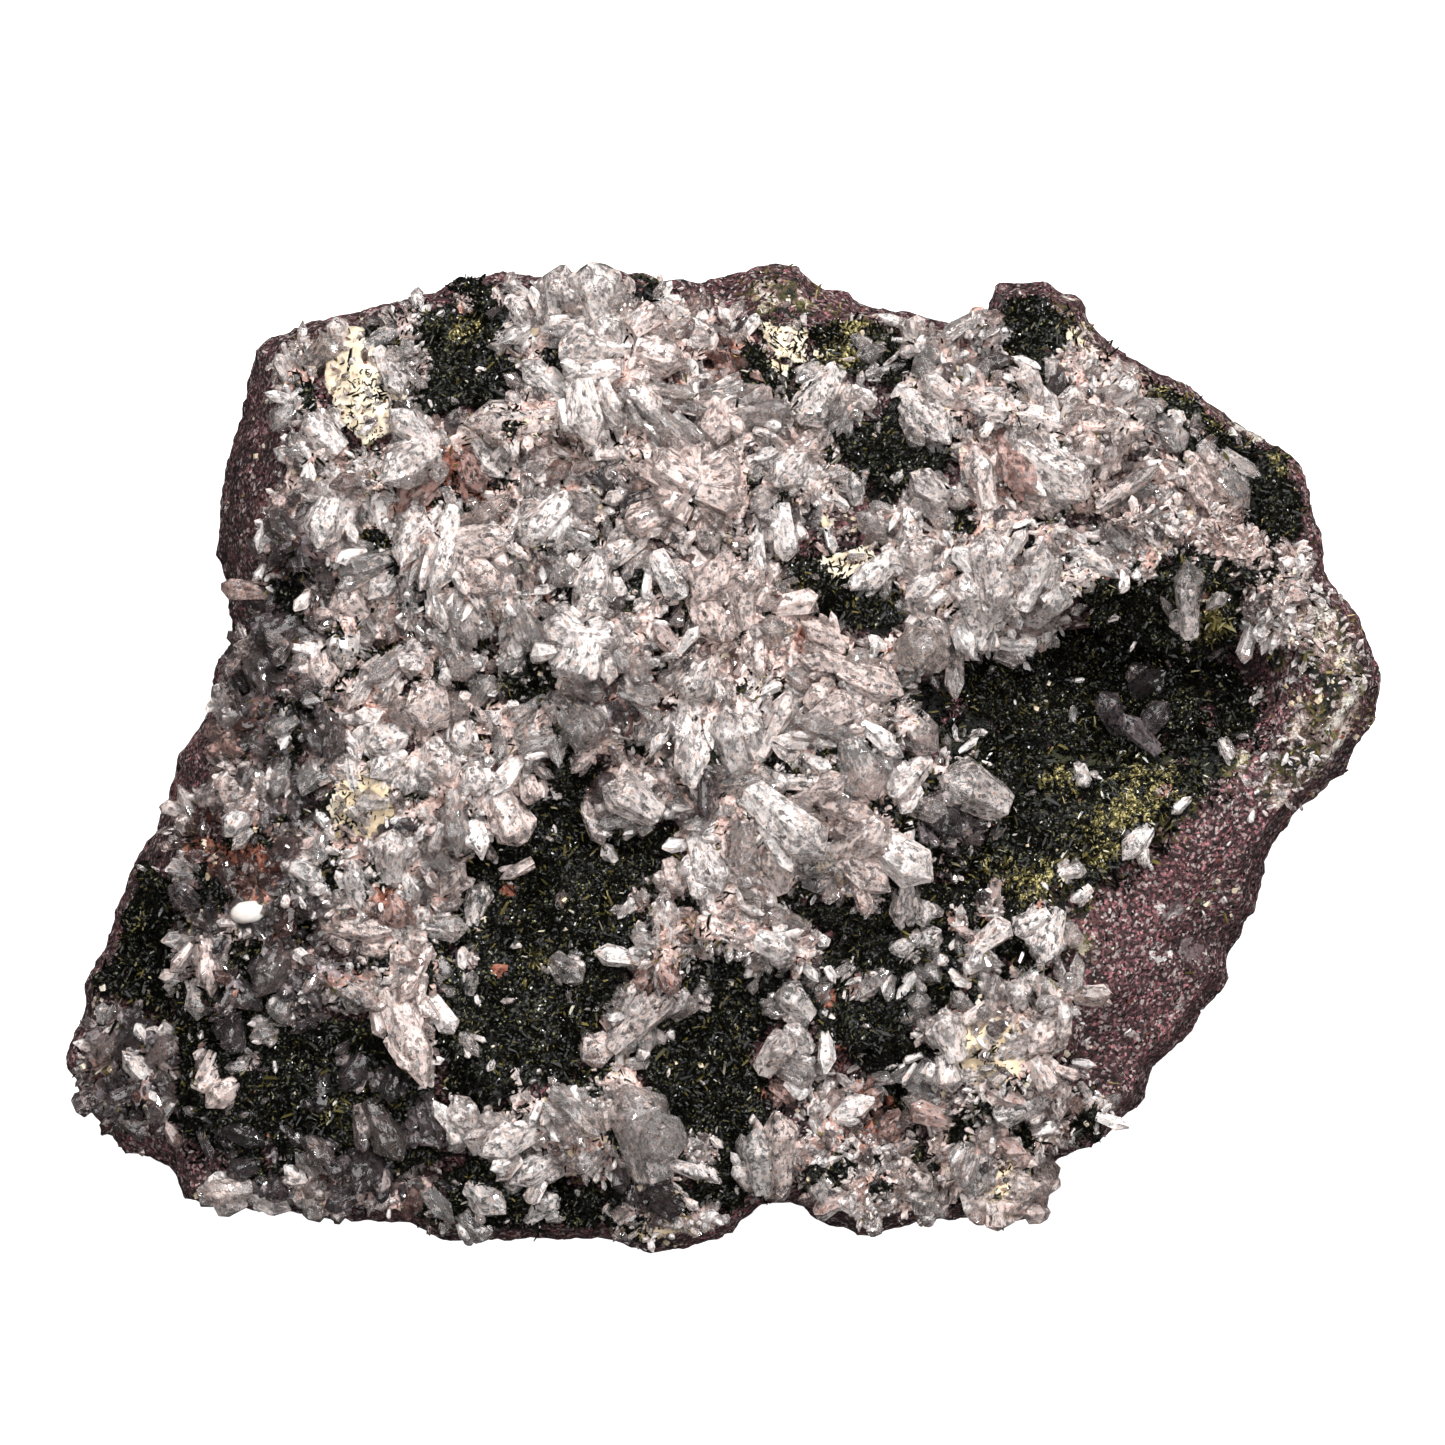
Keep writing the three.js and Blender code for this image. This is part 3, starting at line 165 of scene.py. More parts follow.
# The crystals that stand out of each cluster, and those that stand alone, repeated from the solids:
# the picture places of foot and tip, the width in pixels and the rise from foot to tip in millimetres.
CLUSTER_CRYSTALS = {
    "quartz_top_burst": (
        (590, 330, 561, 290, 24, 5), (602, 325, 600, 285, 26, 4), (625, 345, 645, 312, 24, 5),
        (635, 360, 678, 352, 26, 3), (600, 450, 582, 384, 30, 4)),
    "quartz_crown": ((560, 418, 466, 430, 42, 4), (520, 520, 490, 560, 26, 3)),
    "quartz_left_white": (
        (412, 620, 408, 550, 20, 4), (436, 600, 430, 515, 24, 3), (350, 612, 340, 668, 32, 3)),
    "quartz_upper_middle": (
        (706, 500, 713, 556, 26, 4), (735, 415, 798, 410, 20, 3), (690, 500, 690, 470, 34, 7)),
    "quartz_spray": (
        (1045, 421, 962, 404, 28, 4), (1062, 424, 1150, 431, 18, 4), (1105, 502, 1158, 466, 18, 4)),
    "quartz_right_arc": ((1187, 628, 1183, 574, 22, 4), (1205, 452, 1242, 494, 22, 3)),
    "quartz_white_ball": ((1010, 600, 972, 536, 26, 4), (1040, 590, 1098, 574, 24, 3)),
    "quartz_centre": ((600, 660, 572, 628, 34, 6), (560, 740, 590, 705, 26, 4)),
    "quartz_heart": ((690, 772, 688, 712, 24, 4), (765, 745, 792, 690, 22, 5)),
    "quartz_middle_right": ((893, 702, 936, 752, 32, 4), (850, 735, 795, 722, 20, 3)),
    "quartz_left_column": ((320, 968, 388, 1010, 26, 3), (400, 1000, 431, 1088, 26, 2)),
    "quartz_prism_band": (
        (802, 952, 684, 922, 30, 4), (768, 810, 822, 852, 38, 5), (668, 985, 662, 885, 30, 4)),
    "quartz_pillar": ((620, 1040, 682, 984, 26, 5),),
    "quartz_lower_white": ((1010, 1010, 1040, 960, 24, 4),),
    "quartz_bottom_right": ((975, 1202, 1040, 1180, 40, 4),),
    "quartz_bottom_left": ((240, 1190, 200, 1196, 24, 3),),
}
LONE_CRYSTALS = {
    "quartz_crystal_1": ((930, 655, 905, 643, 42, 6),),
    "quartz_crystal_2": ((955, 652, 952, 700, 20, 4),),
    "quartz_crystal_3": ((648, 808, 606, 782, 40, 5),),
    "quartz_crystal_4": ((992, 800, 942, 772, 48, 4),),
    "quartz_crystal_5": ((880, 842, 930, 880, 42, 5),),
    "quartz_crystal_6": ((655, 1165, 630, 1080, 56, 5),),
    "quartz_crystal_7": ((768, 1062, 790, 1030, 30, 5),),
    "quartz_crystal_8": ((460, 1126, 532, 1140, 32, 3),),
    "quartz_crystal_9": ((372, 674, 348, 710, 22, 4),),
    "quartz_hollow": (
        (1120, 728, 1100, 690, 26, 6), (1140, 735, 1168, 700, 24, 6), (1150, 745, 1120, 715, 20, 5)),
}
# More crystals that the picture shows one by one, by their look: foot and tip places and width in pixels.
PICTURE_CRYSTALS = {
    "milky": (
        (560, 322, 560, 267, 30), (603, 322, 594, 264, 46), (587, 322, 540, 332, 20),
        (622, 352, 558, 350, 40), (612, 374, 564, 380, 30), (617, 348, 604, 318, 32),
        (582, 390, 592, 451, 36), (562, 398, 522, 362, 28), (384, 358, 405, 398, 26),
        (338, 450, 306, 418, 34), (352, 506, 320, 482, 22), (455, 512, 440, 592, 28),
        (418, 512, 404, 572, 26), (398, 572, 371, 602, 24), (335, 498, 318, 550, 36),
        (562, 505, 524, 545, 34), (600, 562, 588, 604, 34), (430, 450, 388, 484, 36),
        (424, 440, 390, 412, 30), (482, 450, 504, 481, 24), (832, 374, 800, 426, 38),
        (800, 458, 774, 490, 36), (782, 512, 788, 563, 24), (755, 525, 758, 586, 18),
        (856, 500, 850, 472, 18), (945, 500, 907, 474, 28), (908, 498, 911, 546, 20),
        (920, 568, 914, 540, 34), (932, 580, 904, 602, 24), (890, 560, 850, 592, 28),
        (908, 398, 947, 447, 40), (640, 540, 604, 563, 26), (660, 560, 682, 602, 26),
        (1018, 444, 1087, 499, 44), (1112, 398, 1137, 382, 28), (990, 592, 984, 531, 36),
        (976, 622, 960, 577, 32), (990, 612, 1001, 572, 30), (1070, 548, 1117, 578, 20),
        (1020, 602, 1042, 545, 30), (1028, 622, 1064, 590, 30), (1000, 640, 1040, 646, 24),
        (985, 625, 976, 652, 22), (585, 642, 545, 620, 34), (590, 640, 622, 642, 32),
        (584, 622, 602, 594, 30), (588, 640, 575, 684, 46), (440, 600, 448, 634, 18),
        (463, 722, 462, 753, 22), (435, 748, 449, 778, 34), (415, 764, 408, 792, 20),
        (475, 770, 480, 797, 26), (704, 664, 688, 700, 34), (762, 736, 799, 697, 26),
        (736, 762, 724, 704, 38), (757, 752, 744, 714, 28), (690, 712, 690, 790, 30),
        (920, 765, 888, 797, 28), (760, 800, 822, 852, 44), (700, 842, 716, 890, 32),
        (650, 1015, 688, 989, 26), (630, 1032, 645, 988, 22), (528, 1132, 480, 1152, 34),
        (478, 1142, 457, 1098, 30), (550, 1158, 510, 1184, 30), (762, 1182, 757, 1128, 32),
        (805, 1046, 786, 1022, 24), (804, 1010, 782, 984, 30), (762, 940, 797, 952, 30),
        (905, 884, 898, 926, 22), (922, 904, 921, 926, 18), (915, 935, 891, 953, 20),
        (920, 942, 941, 931, 24), (1052, 918, 1040, 966, 32), (1042, 915, 1011, 932, 24),
        (1018, 1001, 1018, 978, 22), (955, 1052, 938, 1008, 32), (946, 1058, 951, 1092, 28),
        (1035, 1100, 991, 1116, 28), (215, 1184, 238, 1213, 34), (250, 1194, 291, 1212, 26),
        (475, 1188, 506, 1213, 30), (530, 1216, 559, 1194, 24), (398, 735, 369, 746, 36),
        (399, 757, 373, 776, 26), (350, 737, 362, 763, 18), (255, 804, 225, 836, 26),
        (392, 872, 393, 830, 32), (360, 902, 352, 858, 22), (424, 912, 406, 923, 15),
        (1144, 830, 1121, 860, 22), (1060, 873, 1084, 868, 15), (1087, 889, 1070, 902, 14),
        (1262, 690, 1252, 706, 9), (1078, 768, 1086, 788, 14), (1222, 742, 1232, 760, 10),
    ),
    "pink": (
        (640, 352, 689, 367, 36), (634, 332, 660, 311, 28), (715, 410, 716, 446, 30),
        (700, 482, 741, 467, 42), (702, 492, 746, 505, 36), (690, 484, 650, 457, 38),
        (682, 494, 658, 518, 28), (690, 470, 688, 444, 28), (672, 508, 626, 531, 30),
        (828, 434, 797, 453, 26), (452, 548, 518, 540, 38), (470, 556, 497, 594, 34),
        (430, 696, 428, 730, 46), (500, 795, 522, 846, 36), (528, 778, 535, 803, 22),
        (592, 752, 571, 772, 13), (722, 560, 698, 602, 42), (735, 602, 752, 566, 36),
        (700, 602, 722, 643, 36), (746, 622, 740, 582, 26), (805, 796, 849, 777, 26),
        (828, 803, 871, 817, 24), (850, 672, 904, 693, 38), (841, 666, 798, 656, 24),
        (838, 646, 799, 623, 24), (778, 882, 775, 840, 30), (845, 856, 890, 892, 36),
        (845, 852, 884, 822, 38), (1188, 460, 1202, 510, 26), (1080, 472, 1086, 434, 24),
        (1100, 472, 1114, 438, 24), (1150, 424, 1107, 443, 20), (985, 502, 973, 445, 30),
        (606, 1044, 582, 1060, 34), (208, 942, 213, 998, 26), (208, 796, 242, 790, 30),
        (334, 925, 395, 932, 22), (350, 944, 391, 952, 16), (426, 952, 402, 1002, 18),
        (395, 1000, 430, 1087, 36), (672, 866, 681, 892, 26), (758, 640, 757, 679, 14),
        (782, 1172, 780, 1109, 34), (1050, 1020, 1028, 1052, 32), (1032, 1060, 1054, 1094, 24),
        (1042, 1178, 1004, 1213, 42), (996, 1202, 1000, 1229, 30), (905, 1164, 932, 1188, 17),
        (215, 1058, 202, 1094, 24), (232, 1086, 204, 1106, 26), (530, 862, 500, 880, 12),
        (322, 650, 329, 692, 30), (440, 886, 465, 858, 28), (820, 720, 852, 700, 34),
        (1024, 500, 1058, 512, 26), (360, 612, 340, 590, 34), (1060, 1085, 1060, 1122, 16),
    ),
    "clear": (
        (636, 398, 694, 455, 24), (640, 424, 675, 453, 14), (706, 402, 760, 386, 17),
        (740, 420, 790, 411, 24), (846, 394, 826, 440, 14), (772, 497, 751, 513, 20),
        (574, 499, 595, 517, 22), (392, 560, 340, 575, 28), (555, 528, 597, 552, 14),
        (552, 558, 571, 585, 26), (925, 504, 949, 529, 22), (930, 350, 919, 380, 24),
        (880, 350, 856, 358, 20), (870, 375, 906, 366, 9), (1130, 402, 1153, 421, 18),
        (1155, 420, 1180, 451, 28), (1112, 492, 1150, 474, 16), (1118, 502, 1153, 486, 14),
        (1206, 454, 1245, 511, 26), (1105, 530, 1127, 549, 20), (1188, 622, 1186, 566, 28),
        (995, 350, 998, 369, 13), (515, 605, 529, 648, 18), (530, 620, 548, 655, 20),
        (455, 605, 477, 650, 24), (455, 648, 471, 680, 26), (478, 699, 493, 675, 22),
        (520, 654, 501, 682, 20), (570, 688, 608, 693, 20), (625, 690, 662, 701, 26),
        (560, 705, 600, 740, 42), (558, 740, 519, 749, 18), (536, 704, 511, 721, 16),
        (455, 795, 461, 857, 24), (650, 814, 597, 826, 22), (650, 720, 639, 747, 18),
        (672, 720, 654, 736, 16), (632, 661, 646, 682, 22), (706, 790, 762, 779, 18),
        (772, 641, 772, 617, 24), (895, 682, 917, 673, 13), (823, 690, 784, 671, 24),
        (852, 736, 794, 717, 24), (850, 750, 874, 797, 42), (862, 673, 855, 647, 22),
        (800, 870, 833, 857, 24), (655, 940, 629, 935, 17), (640, 1018, 619, 1054, 24),
        (646, 1020, 648, 1054, 24), (560, 960, 582, 980, 24), (465, 1036, 481, 1056, 14),
        (470, 991, 475, 969, 12), (555, 1114, 577, 1144, 24), (560, 1094, 602, 1134, 26),
        (640, 1150, 674, 1128, 46), (600, 1150, 580, 1174, 22), (802, 925, 768, 914, 22),
        (798, 986, 821, 973, 15), (804, 1001, 834, 981, 16), (778, 1002, 761, 1013, 15),
        (782, 1065, 813, 1082, 26), (886, 968, 854, 999, 19), (962, 932, 958, 957, 14),
        (918, 962, 941, 981, 22), (921, 1021, 918, 993, 22), (867, 1076, 894, 1079, 13),
        (913, 1067, 894, 1081, 13), (929, 1061, 909, 1092, 17), (879, 1084, 876, 1112, 9),
        (993, 993, 993, 973, 17), (996, 1117, 975, 1142, 17), (969, 1147, 957, 1185, 19),
        (985, 1159, 974, 1197, 19), (936, 1194, 914, 1215, 24), (878, 1172, 899, 1163, 11),
        (465, 1214, 491, 1240, 26), (402, 655, 371, 684, 22), (312, 640, 297, 671, 15),
        (296, 721, 271, 736, 20), (285, 999, 279, 1022, 22), (279, 1027, 249, 1037, 20),
        (322, 992, 299, 998, 11), (405, 880, 419, 907, 16), (285, 764, 278, 797, 22),
        (222, 694, 239, 724, 28), (852, 962, 830, 978, 10), (312, 1196, 316, 1223, 24),
    ),
    # the dim ones lie in shade, low on the left, on the ledge and in the hollow, and their grey is painted
    # shade
    "dim": (
        (286, 950, 256, 997, 36), (205, 1121, 264, 1143, 22), (362, 1060, 344, 1092, 26),
        (375, 1107, 399, 1162, 32), (425, 1100, 441, 1150, 28), (370, 1154, 359, 1192, 36),
        (310, 1141, 331, 1166, 22), (275, 1179, 277, 1202, 22), (351, 1197, 325, 1209, 20),
        (318, 678, 301, 698, 22), (262, 645, 266, 692, 36), (235, 655, 247, 694, 22),
        (308, 722, 326, 757, 20), (336, 722, 334, 762, 26), (300, 622, 254, 640, 30),
        (925, 808, 960, 832, 30), (250, 1165, 226, 1178, 26), (395, 1070, 388, 1102, 22),
        (120, 1050, 150, 1020, 30), (110, 1040, 90, 1062, 26), (150, 1060, 172, 1042, 24),
        (90, 1100, 68, 1112, 24), (140, 1108, 160, 1092, 22), (1140, 690, 1168, 672, 30),
    ),
    "rusty": (
        (1005, 455, 1037, 498, 36), (1000, 440, 1002, 484, 26), (215, 732, 247, 754, 26),
        (776, 1086, 796, 1098, 20), (660, 962, 676, 992, 16), (646, 968, 640, 990, 14),
        (905, 1120, 880, 1140, 18), (862, 1100, 884, 1092, 16), (722, 352, 730, 392, 26),
        (436, 480, 410, 500, 22), (470, 462, 482, 496, 24), (395, 898, 402, 926, 22),
    ),
}
# by look: how clear, how pink and how rusty; the dim look's tint near 1 takes the smoky grey, which is
# painted shade
LOOKS = {"milky": (0.5, 0.22, 0), "pink": (0.5, 0.6, 0.04), "clear": (1.0, 0.15, 0),
         "dim": (1.1, 0.97, 0), "rusty": (0.5, 0.8, 0.6)}
# where the quartz is fine grained
FINE_SPOTS = (
    (1150, 530, 48), (1215, 545, 48), (1265, 590, 40), (1290, 770, 50), (900, 1195, 60), (430, 705, 30),
    (1080, 350, 34), (1260, 560, 40), (860, 1140, 30), (1330, 640, 60), (965, 1095, 22), (640, 1240, 40),
    (230, 790, 30), (700, 960, 24), (200, 1040, 30),
)
# rock faces mottled with feldspar, quartz and epidote
MOTTLED_SPOTS = (
    (1305, 640, 44), (1345, 655, 36), (1350, 700, 40), (1320, 735, 40), (1300, 770, 36), (1280, 790, 24),
    (1330, 620, 26), (1075, 310, 30), (1095, 345, 26), (1285, 660, 20), (1262, 620, 26), (860, 330, 30),
    (930, 322, 16), (780, 280, 34), (1190, 395, 18), (1250, 432, 20), (1110, 1115, 20), (200, 1090, 14),
)
# quartz that is painted grey: painted shade where it lies in shade, as on the left flank and in the
# hollow, and partly smoky tone
DIM_SPOTS = (
    (285, 640, 60), (275, 720, 60), (300, 800, 44), (262, 850, 34), (230, 900, 20), (250, 1000, 60),
    (320, 1060, 70), (370, 1140, 66), (250, 1140, 50), (430, 1150, 50), (105, 980, 60), (110, 1100, 60),
    (330, 960, 40), (240, 520, 40), (235, 420, 40), (1140, 700, 50), (950, 815, 30), (700, 780, 24),
    (610, 700, 34), (650, 1190, 30), (225, 840, 44), (285, 905, 44), (200, 905, 40), (300, 560, 40),
)
# each kind of spot with the seed of its ragged edges
SPOTS = {
    "dark": (1, DARK_SPOTS), "pale": (2, PALE_SPOTS), "rust": (3, RUST_SPOTS), "green": (4, GREEN_SPOTS),
    "pink": (5, PINK_SPOTS), "cream": (6, CREAM_SPOTS), "bare": (7, BARE_SPOTS), "white": (8, WHITE_SPOTS),
    "mottled": (9, MOTTLED_SPOTS), "fine": (11, FINE_SPOTS), "dim": (12, DIM_SPOTS),
}
ROCK_SEED = 8
RAGGED_PX = 9
# a spot is whole up to 0.6 of its reach, and it has faded out at 1.3
SPOT_END, SPOT_FADE = 1.3, 0.7
# patches in the growth, each with the size of its lumps in pixels and its seed; the glint zones and
# patches are where epidote blades are glossier and some are painted pale as painted glints
STOUT_PATCHES, GLINT_ZONES, GLINT_PATCHES = (19, 53), (38, 52), (14, 51)
CLUMPS, SMALL_CLUMPS, TUFTS, BLOTCHES, MINERAL_EDGES = (30, 41), (13, 42), (13, 91), (24, 77), (8, 15)

# how deep the crust of a cluster is, and how far into it the crystals of the solids reach
CRUST_BODY = 1.9 * MM
CRYSTAL_ROOT = 1.3 * MM
# a six-sided crystal one wide across its corners is this wide across its sides
ACROSS_SIDES = math.cos(math.pi / 6)
# a height above everything, from which rays go down
SKY = 0.2
DOWN = Vector((0, 0, -1))


def linear(code):
    """The linear colour of an sRGB hex value."""
    shares = [int(code[i:i + 2], 16) / 255 for i in (1, 3, 5)]
    return tuple(s / 12.92 if s <= 0.04045 else ((s + 0.055) / 1.055) ** 2.4 for s in shares)


def colour_property(name, code, about):
    """A colour that the panel shows, with a default given as sRGB."""
    return FloatVectorProperty(name=name, description=about, subtype="COLOR", size=3, min=0, max=1,
                               default=linear(code))


def length_property(name, millimetres, about):
    """A length that the panel shows, with a default given in millimetres."""
    return FloatProperty(name=name, description=about, unit="LENGTH", precision=5, min=0,
                         default=millimetres * MM)


class CrystalSizes(bpy.types.PropertyGroup):
    """Sizes of the crystals and how closely they stand."""

    blade_length: length_property("Epidote blade length", 0.72, "Length of a common epidote blade")
    blade_width: length_property("Epidote blade width", 0.28, "Width of a common epidote blade")
    blade_spacing: length_property("Epidote spacing", 0.42, "From one epidote blade to the next")
    point_length: length_property("Quartz length", 4.4, "Length of a common quartz crystal")
    point_spacing: length_property("Quartz spacing", 2.45, "From one common quartz crystal to the next")
    druse_length: length_property("Quartz druse length", 2.4, "Length of the small quartz crystals")
    druse_spacing: length_property("Quartz druse spacing", 1.4, "From one small crystal to the next")
    grain_size: length_property("Grain size", 0.36, "Width of the feldspar and clay grains")
    rock_detail: length_property("Rock mesh width", 0.85, "Width of the mesh faces of the rock")


class CrystalColours(bpy.types.PropertyGroup):
    """Colours of the minerals."""

    rock_dark: colour_property("Rock, dark", "#2B161A", "Deepest purple-brown of the rock")
    rock_body: colour_property("Rock", "#573739", "Common purple-brown of the rock")
    rock_speck: colour_property("Rock specks", "#C4B4B0", "Pale feldspar specks in the rock")
    epidote_dark: colour_property("Epidote, dark", "#040503", "Near-black green of thick epidote")
    epidote_body: colour_property("Epidote", "#0C0B07", "Dark green of common epidote")
    epidote_rim: colour_property("Epidote, rim", "#7F7344", "Yellow-green of thin, fine epidote")
    quartz_clear: colour_property("Quartz, clear", "#F3EEEC", "Clear quartz")
    quartz_pink: colour_property("Quartz, pink", "#EBDBD6", "Quartz with a pink tint")
    # this grey is both the tone of smoky quartz and painted shade on quartz that lies in shade
    quartz_smoky_and_shaded: colour_property("Quartz, smoky and shaded", "#787073", "Smoky quartz and quartz in the shade")
    iron_stain: colour_property("Iron stain", "#7E4636", "Rust-red iron oxide on quartz and clay")
    feldspar: colour_property("Feldspar", "#D9C3A2", "Cream feldspar")


def sizes():
    """The sizes that the panel shows."""
    return bpy.context.scene.crystal_sizes


def colours():
    """The colours that the panel shows."""
    return bpy.context.scene.crystal_colours


# Places and noise


def lattice_noise(x, y, size, seed):
    """Smooth noise from 0 to 1 with its lumps that far apart."""
    cells = 64
    grid = np.random.default_rng(seed).random((cells, cells))
    u, v = x / size, y / size
    i, j = np.floor(u).astype(int), np.floor(v).astype(int)
    u, v = u - i, v - j
    u, v = u * u * (3 - 2 * u), v * v * (3 - 2 * v)
    i, j, next_i, next_j = i % cells, j % cells, (i + 1) % cells, (j + 1) % cells
    low = grid[i, j] * (1 - u) + grid[next_i, j] * u
    high = grid[i, next_j] * (1 - u) + grid[next_i, next_j] * u
    return low * (1 - v) + high * v


def spot_share(kind, points, seed=None):
    """How far inside the spots of a kind each point is, from 0 to 1, with ragged edges."""
    own_seed, spots = SPOTS[kind]
    x, y = picture_places(points)
    share = np.zeros(len(points))
    for spot_x, spot_y, reach in spots:
        away = np.hypot(x - spot_x, y - spot_y) / reach
        share = np.maximum(share, np.clip((SPOT_END - away) / SPOT_FADE, 0, 1))
    ragged = lattice_noise(x, y, RAGGED_PX, seed or own_seed)
    return np.clip(share * 2 - ragged, 0, 1) * share


def between(random, low, high, count, power=1):
    """Random values from low to high; a power above 1 gathers them near low."""
    return low + (high - low) * random.random(count) ** power


# Meshes as arrays

# the end of a prism that stands up is the face whose normal rises more than this
END_FACE = 0.9


def select_only(piece):
    """Selects this object alone and makes it the active one."""
    for other in list(bpy.context.view_layer.objects.selected):
        other.select_set(False)
    piece.select_set(True)
    bpy.context.view_layer.objects.active = piece


def read_triangles(mesh):
    """The corners and triangles of a mesh as arrays."""
    mesh.calc_loop_triangles()
    corners = np.empty(len(mesh.vertices) * 3)
    mesh.vertices.foreach_get("co", corners)
    triangles = np.empty(len(mesh.loop_triangles) * 3, dtype=np.int32)
    mesh.loop_triangles.foreach_get("vertices", triangles)
    return corners.reshape(-1, 3), triangles.reshape(-1, 3)


def taken(piece):
    """The mesh of a finished template as arrays; the object is deleted."""
    corners, triangles = read_triangles(piece.data)
    mesh = piece.data
    bpy.data.objects.remove(piece)
    bpy.data.meshes.remove(mesh)
    return corners, triangles


def edit_where(kind, mode, test):
    """Goes into edit mode on a new primitive with its vertices or faces that pass a test selected."""
    bpy.ops.object.transform_apply(location=True)
    piece = bpy.context.object
    bpy.ops.object.mode_set(mode="EDIT")
    bpy.ops.mesh.select_mode(type=mode)
    bpy.ops.mesh.select_all(action="DESELECT")
    bpy.ops.object.mode_set(mode="OBJECT")
    for item in getattr(piece.data, kind):
        item.select = bool(test(item))
    bpy.ops.object.mode_set(mode="EDIT")
    return piece


def quartz_template(point_share, lean, chisel, edge=0):
    """A six-sided crystal one metre long and one wide, its foot at the origin, with a leaning point."""
    ridge_width, merge_distance = 0.03, 0.05
    foot_height, foot_width = 0.05, 0.75
    prism = 1 - point_share
    bpy.ops.object.select_all(action="DESELECT")
    bpy.ops.mesh.primitive_cylinder_add(vertices=6, radius=0.5, depth=prism, location=(0, 0, prism / 2))
    piece = edit_where("polygons", "FACE", lambda face: face.normal.z > END_FACE)
    bpy.ops.mesh.extrude_region_move(TRANSFORM_OT_translate={"value": (lean, lean * 0.4, point_share)})
    bpy.ops.transform.resize(value=(chisel, ridge_width, 1))
    bpy.ops.mesh.select_all(action="SELECT")
    bpy.ops.mesh.remove_doubles(threshold=merge_distance)
    if edge:
        bpy.ops.mesh.bevel(offset=edge, segments=1, affect="EDGES")
    bpy.ops.object.mode_set(mode="OBJECT")
    for corner in piece.data.vertices:
        if corner.co.z < foot_height:
            corner.co.x *= foot_width
            corner.co.y *= foot_width
    return taken(piece)


def blade_template(slant):
    """An epidote blade one metre long and one wide: three-sided, with a slanted end."""
    end_width, end_shift = 0.7, 0.1
    bpy.ops.object.select_all(action="DESELECT")
    bpy.ops.mesh.primitive_cylinder_add(vertices=3, radius=0.5, depth=1, location=(0, 0, 0.5))
    piece = edit_where("polygons", "FACE", lambda face: face.normal.z > END_FACE)
    bpy.ops.transform.resize(value=(end_width, end_width, 1))
    bpy.ops.transform.translate(value=(end_shift, 0, 0))
    bpy.ops.object.mode_set(mode="OBJECT")
    for corner in piece.data.vertices:
        if corner.co.z > 0.9:
            corner.co.z += slant * corner.co.x
    return taken(piece)


def grain_template():
    """A rough block of one metre: a cube with one corner worn down."""
    bpy.ops.object.select_all(action="DESELECT")
    bpy.ops.mesh.primitive_cube_add(size=1, location=(0, 0, 0.3))
    piece = edit_where("vertices", "VERT", lambda corner: corner.co.x + corner.co.y + corner.co.z > 1.0)
    bpy.ops.transform.translate(value=(-0.18, -0.16, -0.3))
    bpy.ops.object.mode_set(mode="OBJECT")
    return taken(piece)


def spread_over(surface, spacing, seed, least_rise=0.05):
    """Points over the upward faces of a surface, about that far apart, and their normals."""
    tries_for_each = 3.5
    corners, triangles = surface
    random = np.random.default_rng(seed)
    a, b, c = (corners[triangles[:, k]] for k in range(3))
    cross = np.cross(b - a, c - a)
    doubled = np.linalg.norm(cross, axis=1)
    normal = cross / np.maximum(doubled, 1e-18)[:, None]
    area = np.where(normal[:, 2] > least_rise, doubled / 2, 0)
    count = int(area.sum() / spacing**2 * tries_for_each)
    if count < 1:
        return np.zeros((0, 3)), np.zeros((0, 3))
    face = random.choice(len(triangles), count, p=area / area.sum())
    u, v = random.random(count), random.random(count)
    over = u + v > 1
    u, v = np.where(over, 1 - u, u), np.where(over, 1 - v, v)
    points = a[face] + u[:, None] * (b - a)[face] + v[:, None] * (c - a)[face]
    cells = np.floor(points / spacing).astype(np.int64)
    _, first = np.unique(cells, axis=0, return_index=True)
    first.sort()
    return points[first], normal[face[first]]


def unit(ways):
    """Directions made one long."""
    return ways / np.maximum(np.linalg.norm(ways, axis=1), 1e-12)[:, None]


@cache
def footprint():
    """The height of the rock's upper side on a grid of one millimetre, below zero where there is none."""
    low, high = CAD_BOX
    xs, ys = (np.arange(low[k], high[k] + MM, MM) for k in (0, 1))
    return np.array([[ground_at((x, y)) for y in ys] for x in xs])


def over_rock(points):
    """Whether the rock lies under each point."""
    grid = footprint()
    i, j = (np.clip(((points[:, k] - CAD_BOX[0][k]) / MM).round().astype(int), 0, grid.shape[k] - 1)
            for k in (0, 1))
    return grid[i, j] > 0


def kept_inside(feet, ways, lengths):
    """Ways and lengths changed so that the tips stay over the rock and under the solids' top."""
    turned_in, shortened, least = (-0.6, -0.6, 1.0), 0.45, 0.1
    ceiling = CAD_BOX[1][2] + 0.9 * MM
    out = ~over_rock(feet + ways * lengths[:, None])
    ways = np.where(out[:, None], ways * turned_in, ways)
    lengths = np.where(~over_rock(feet + ways * lengths[:, None]), lengths * shortened, lengths)
    room = (ceiling - feet[:, 2]) / np.maximum(ways[:, 2] * lengths, 1e-9)
    return ways, lengths * np.clip(room, least, 1)


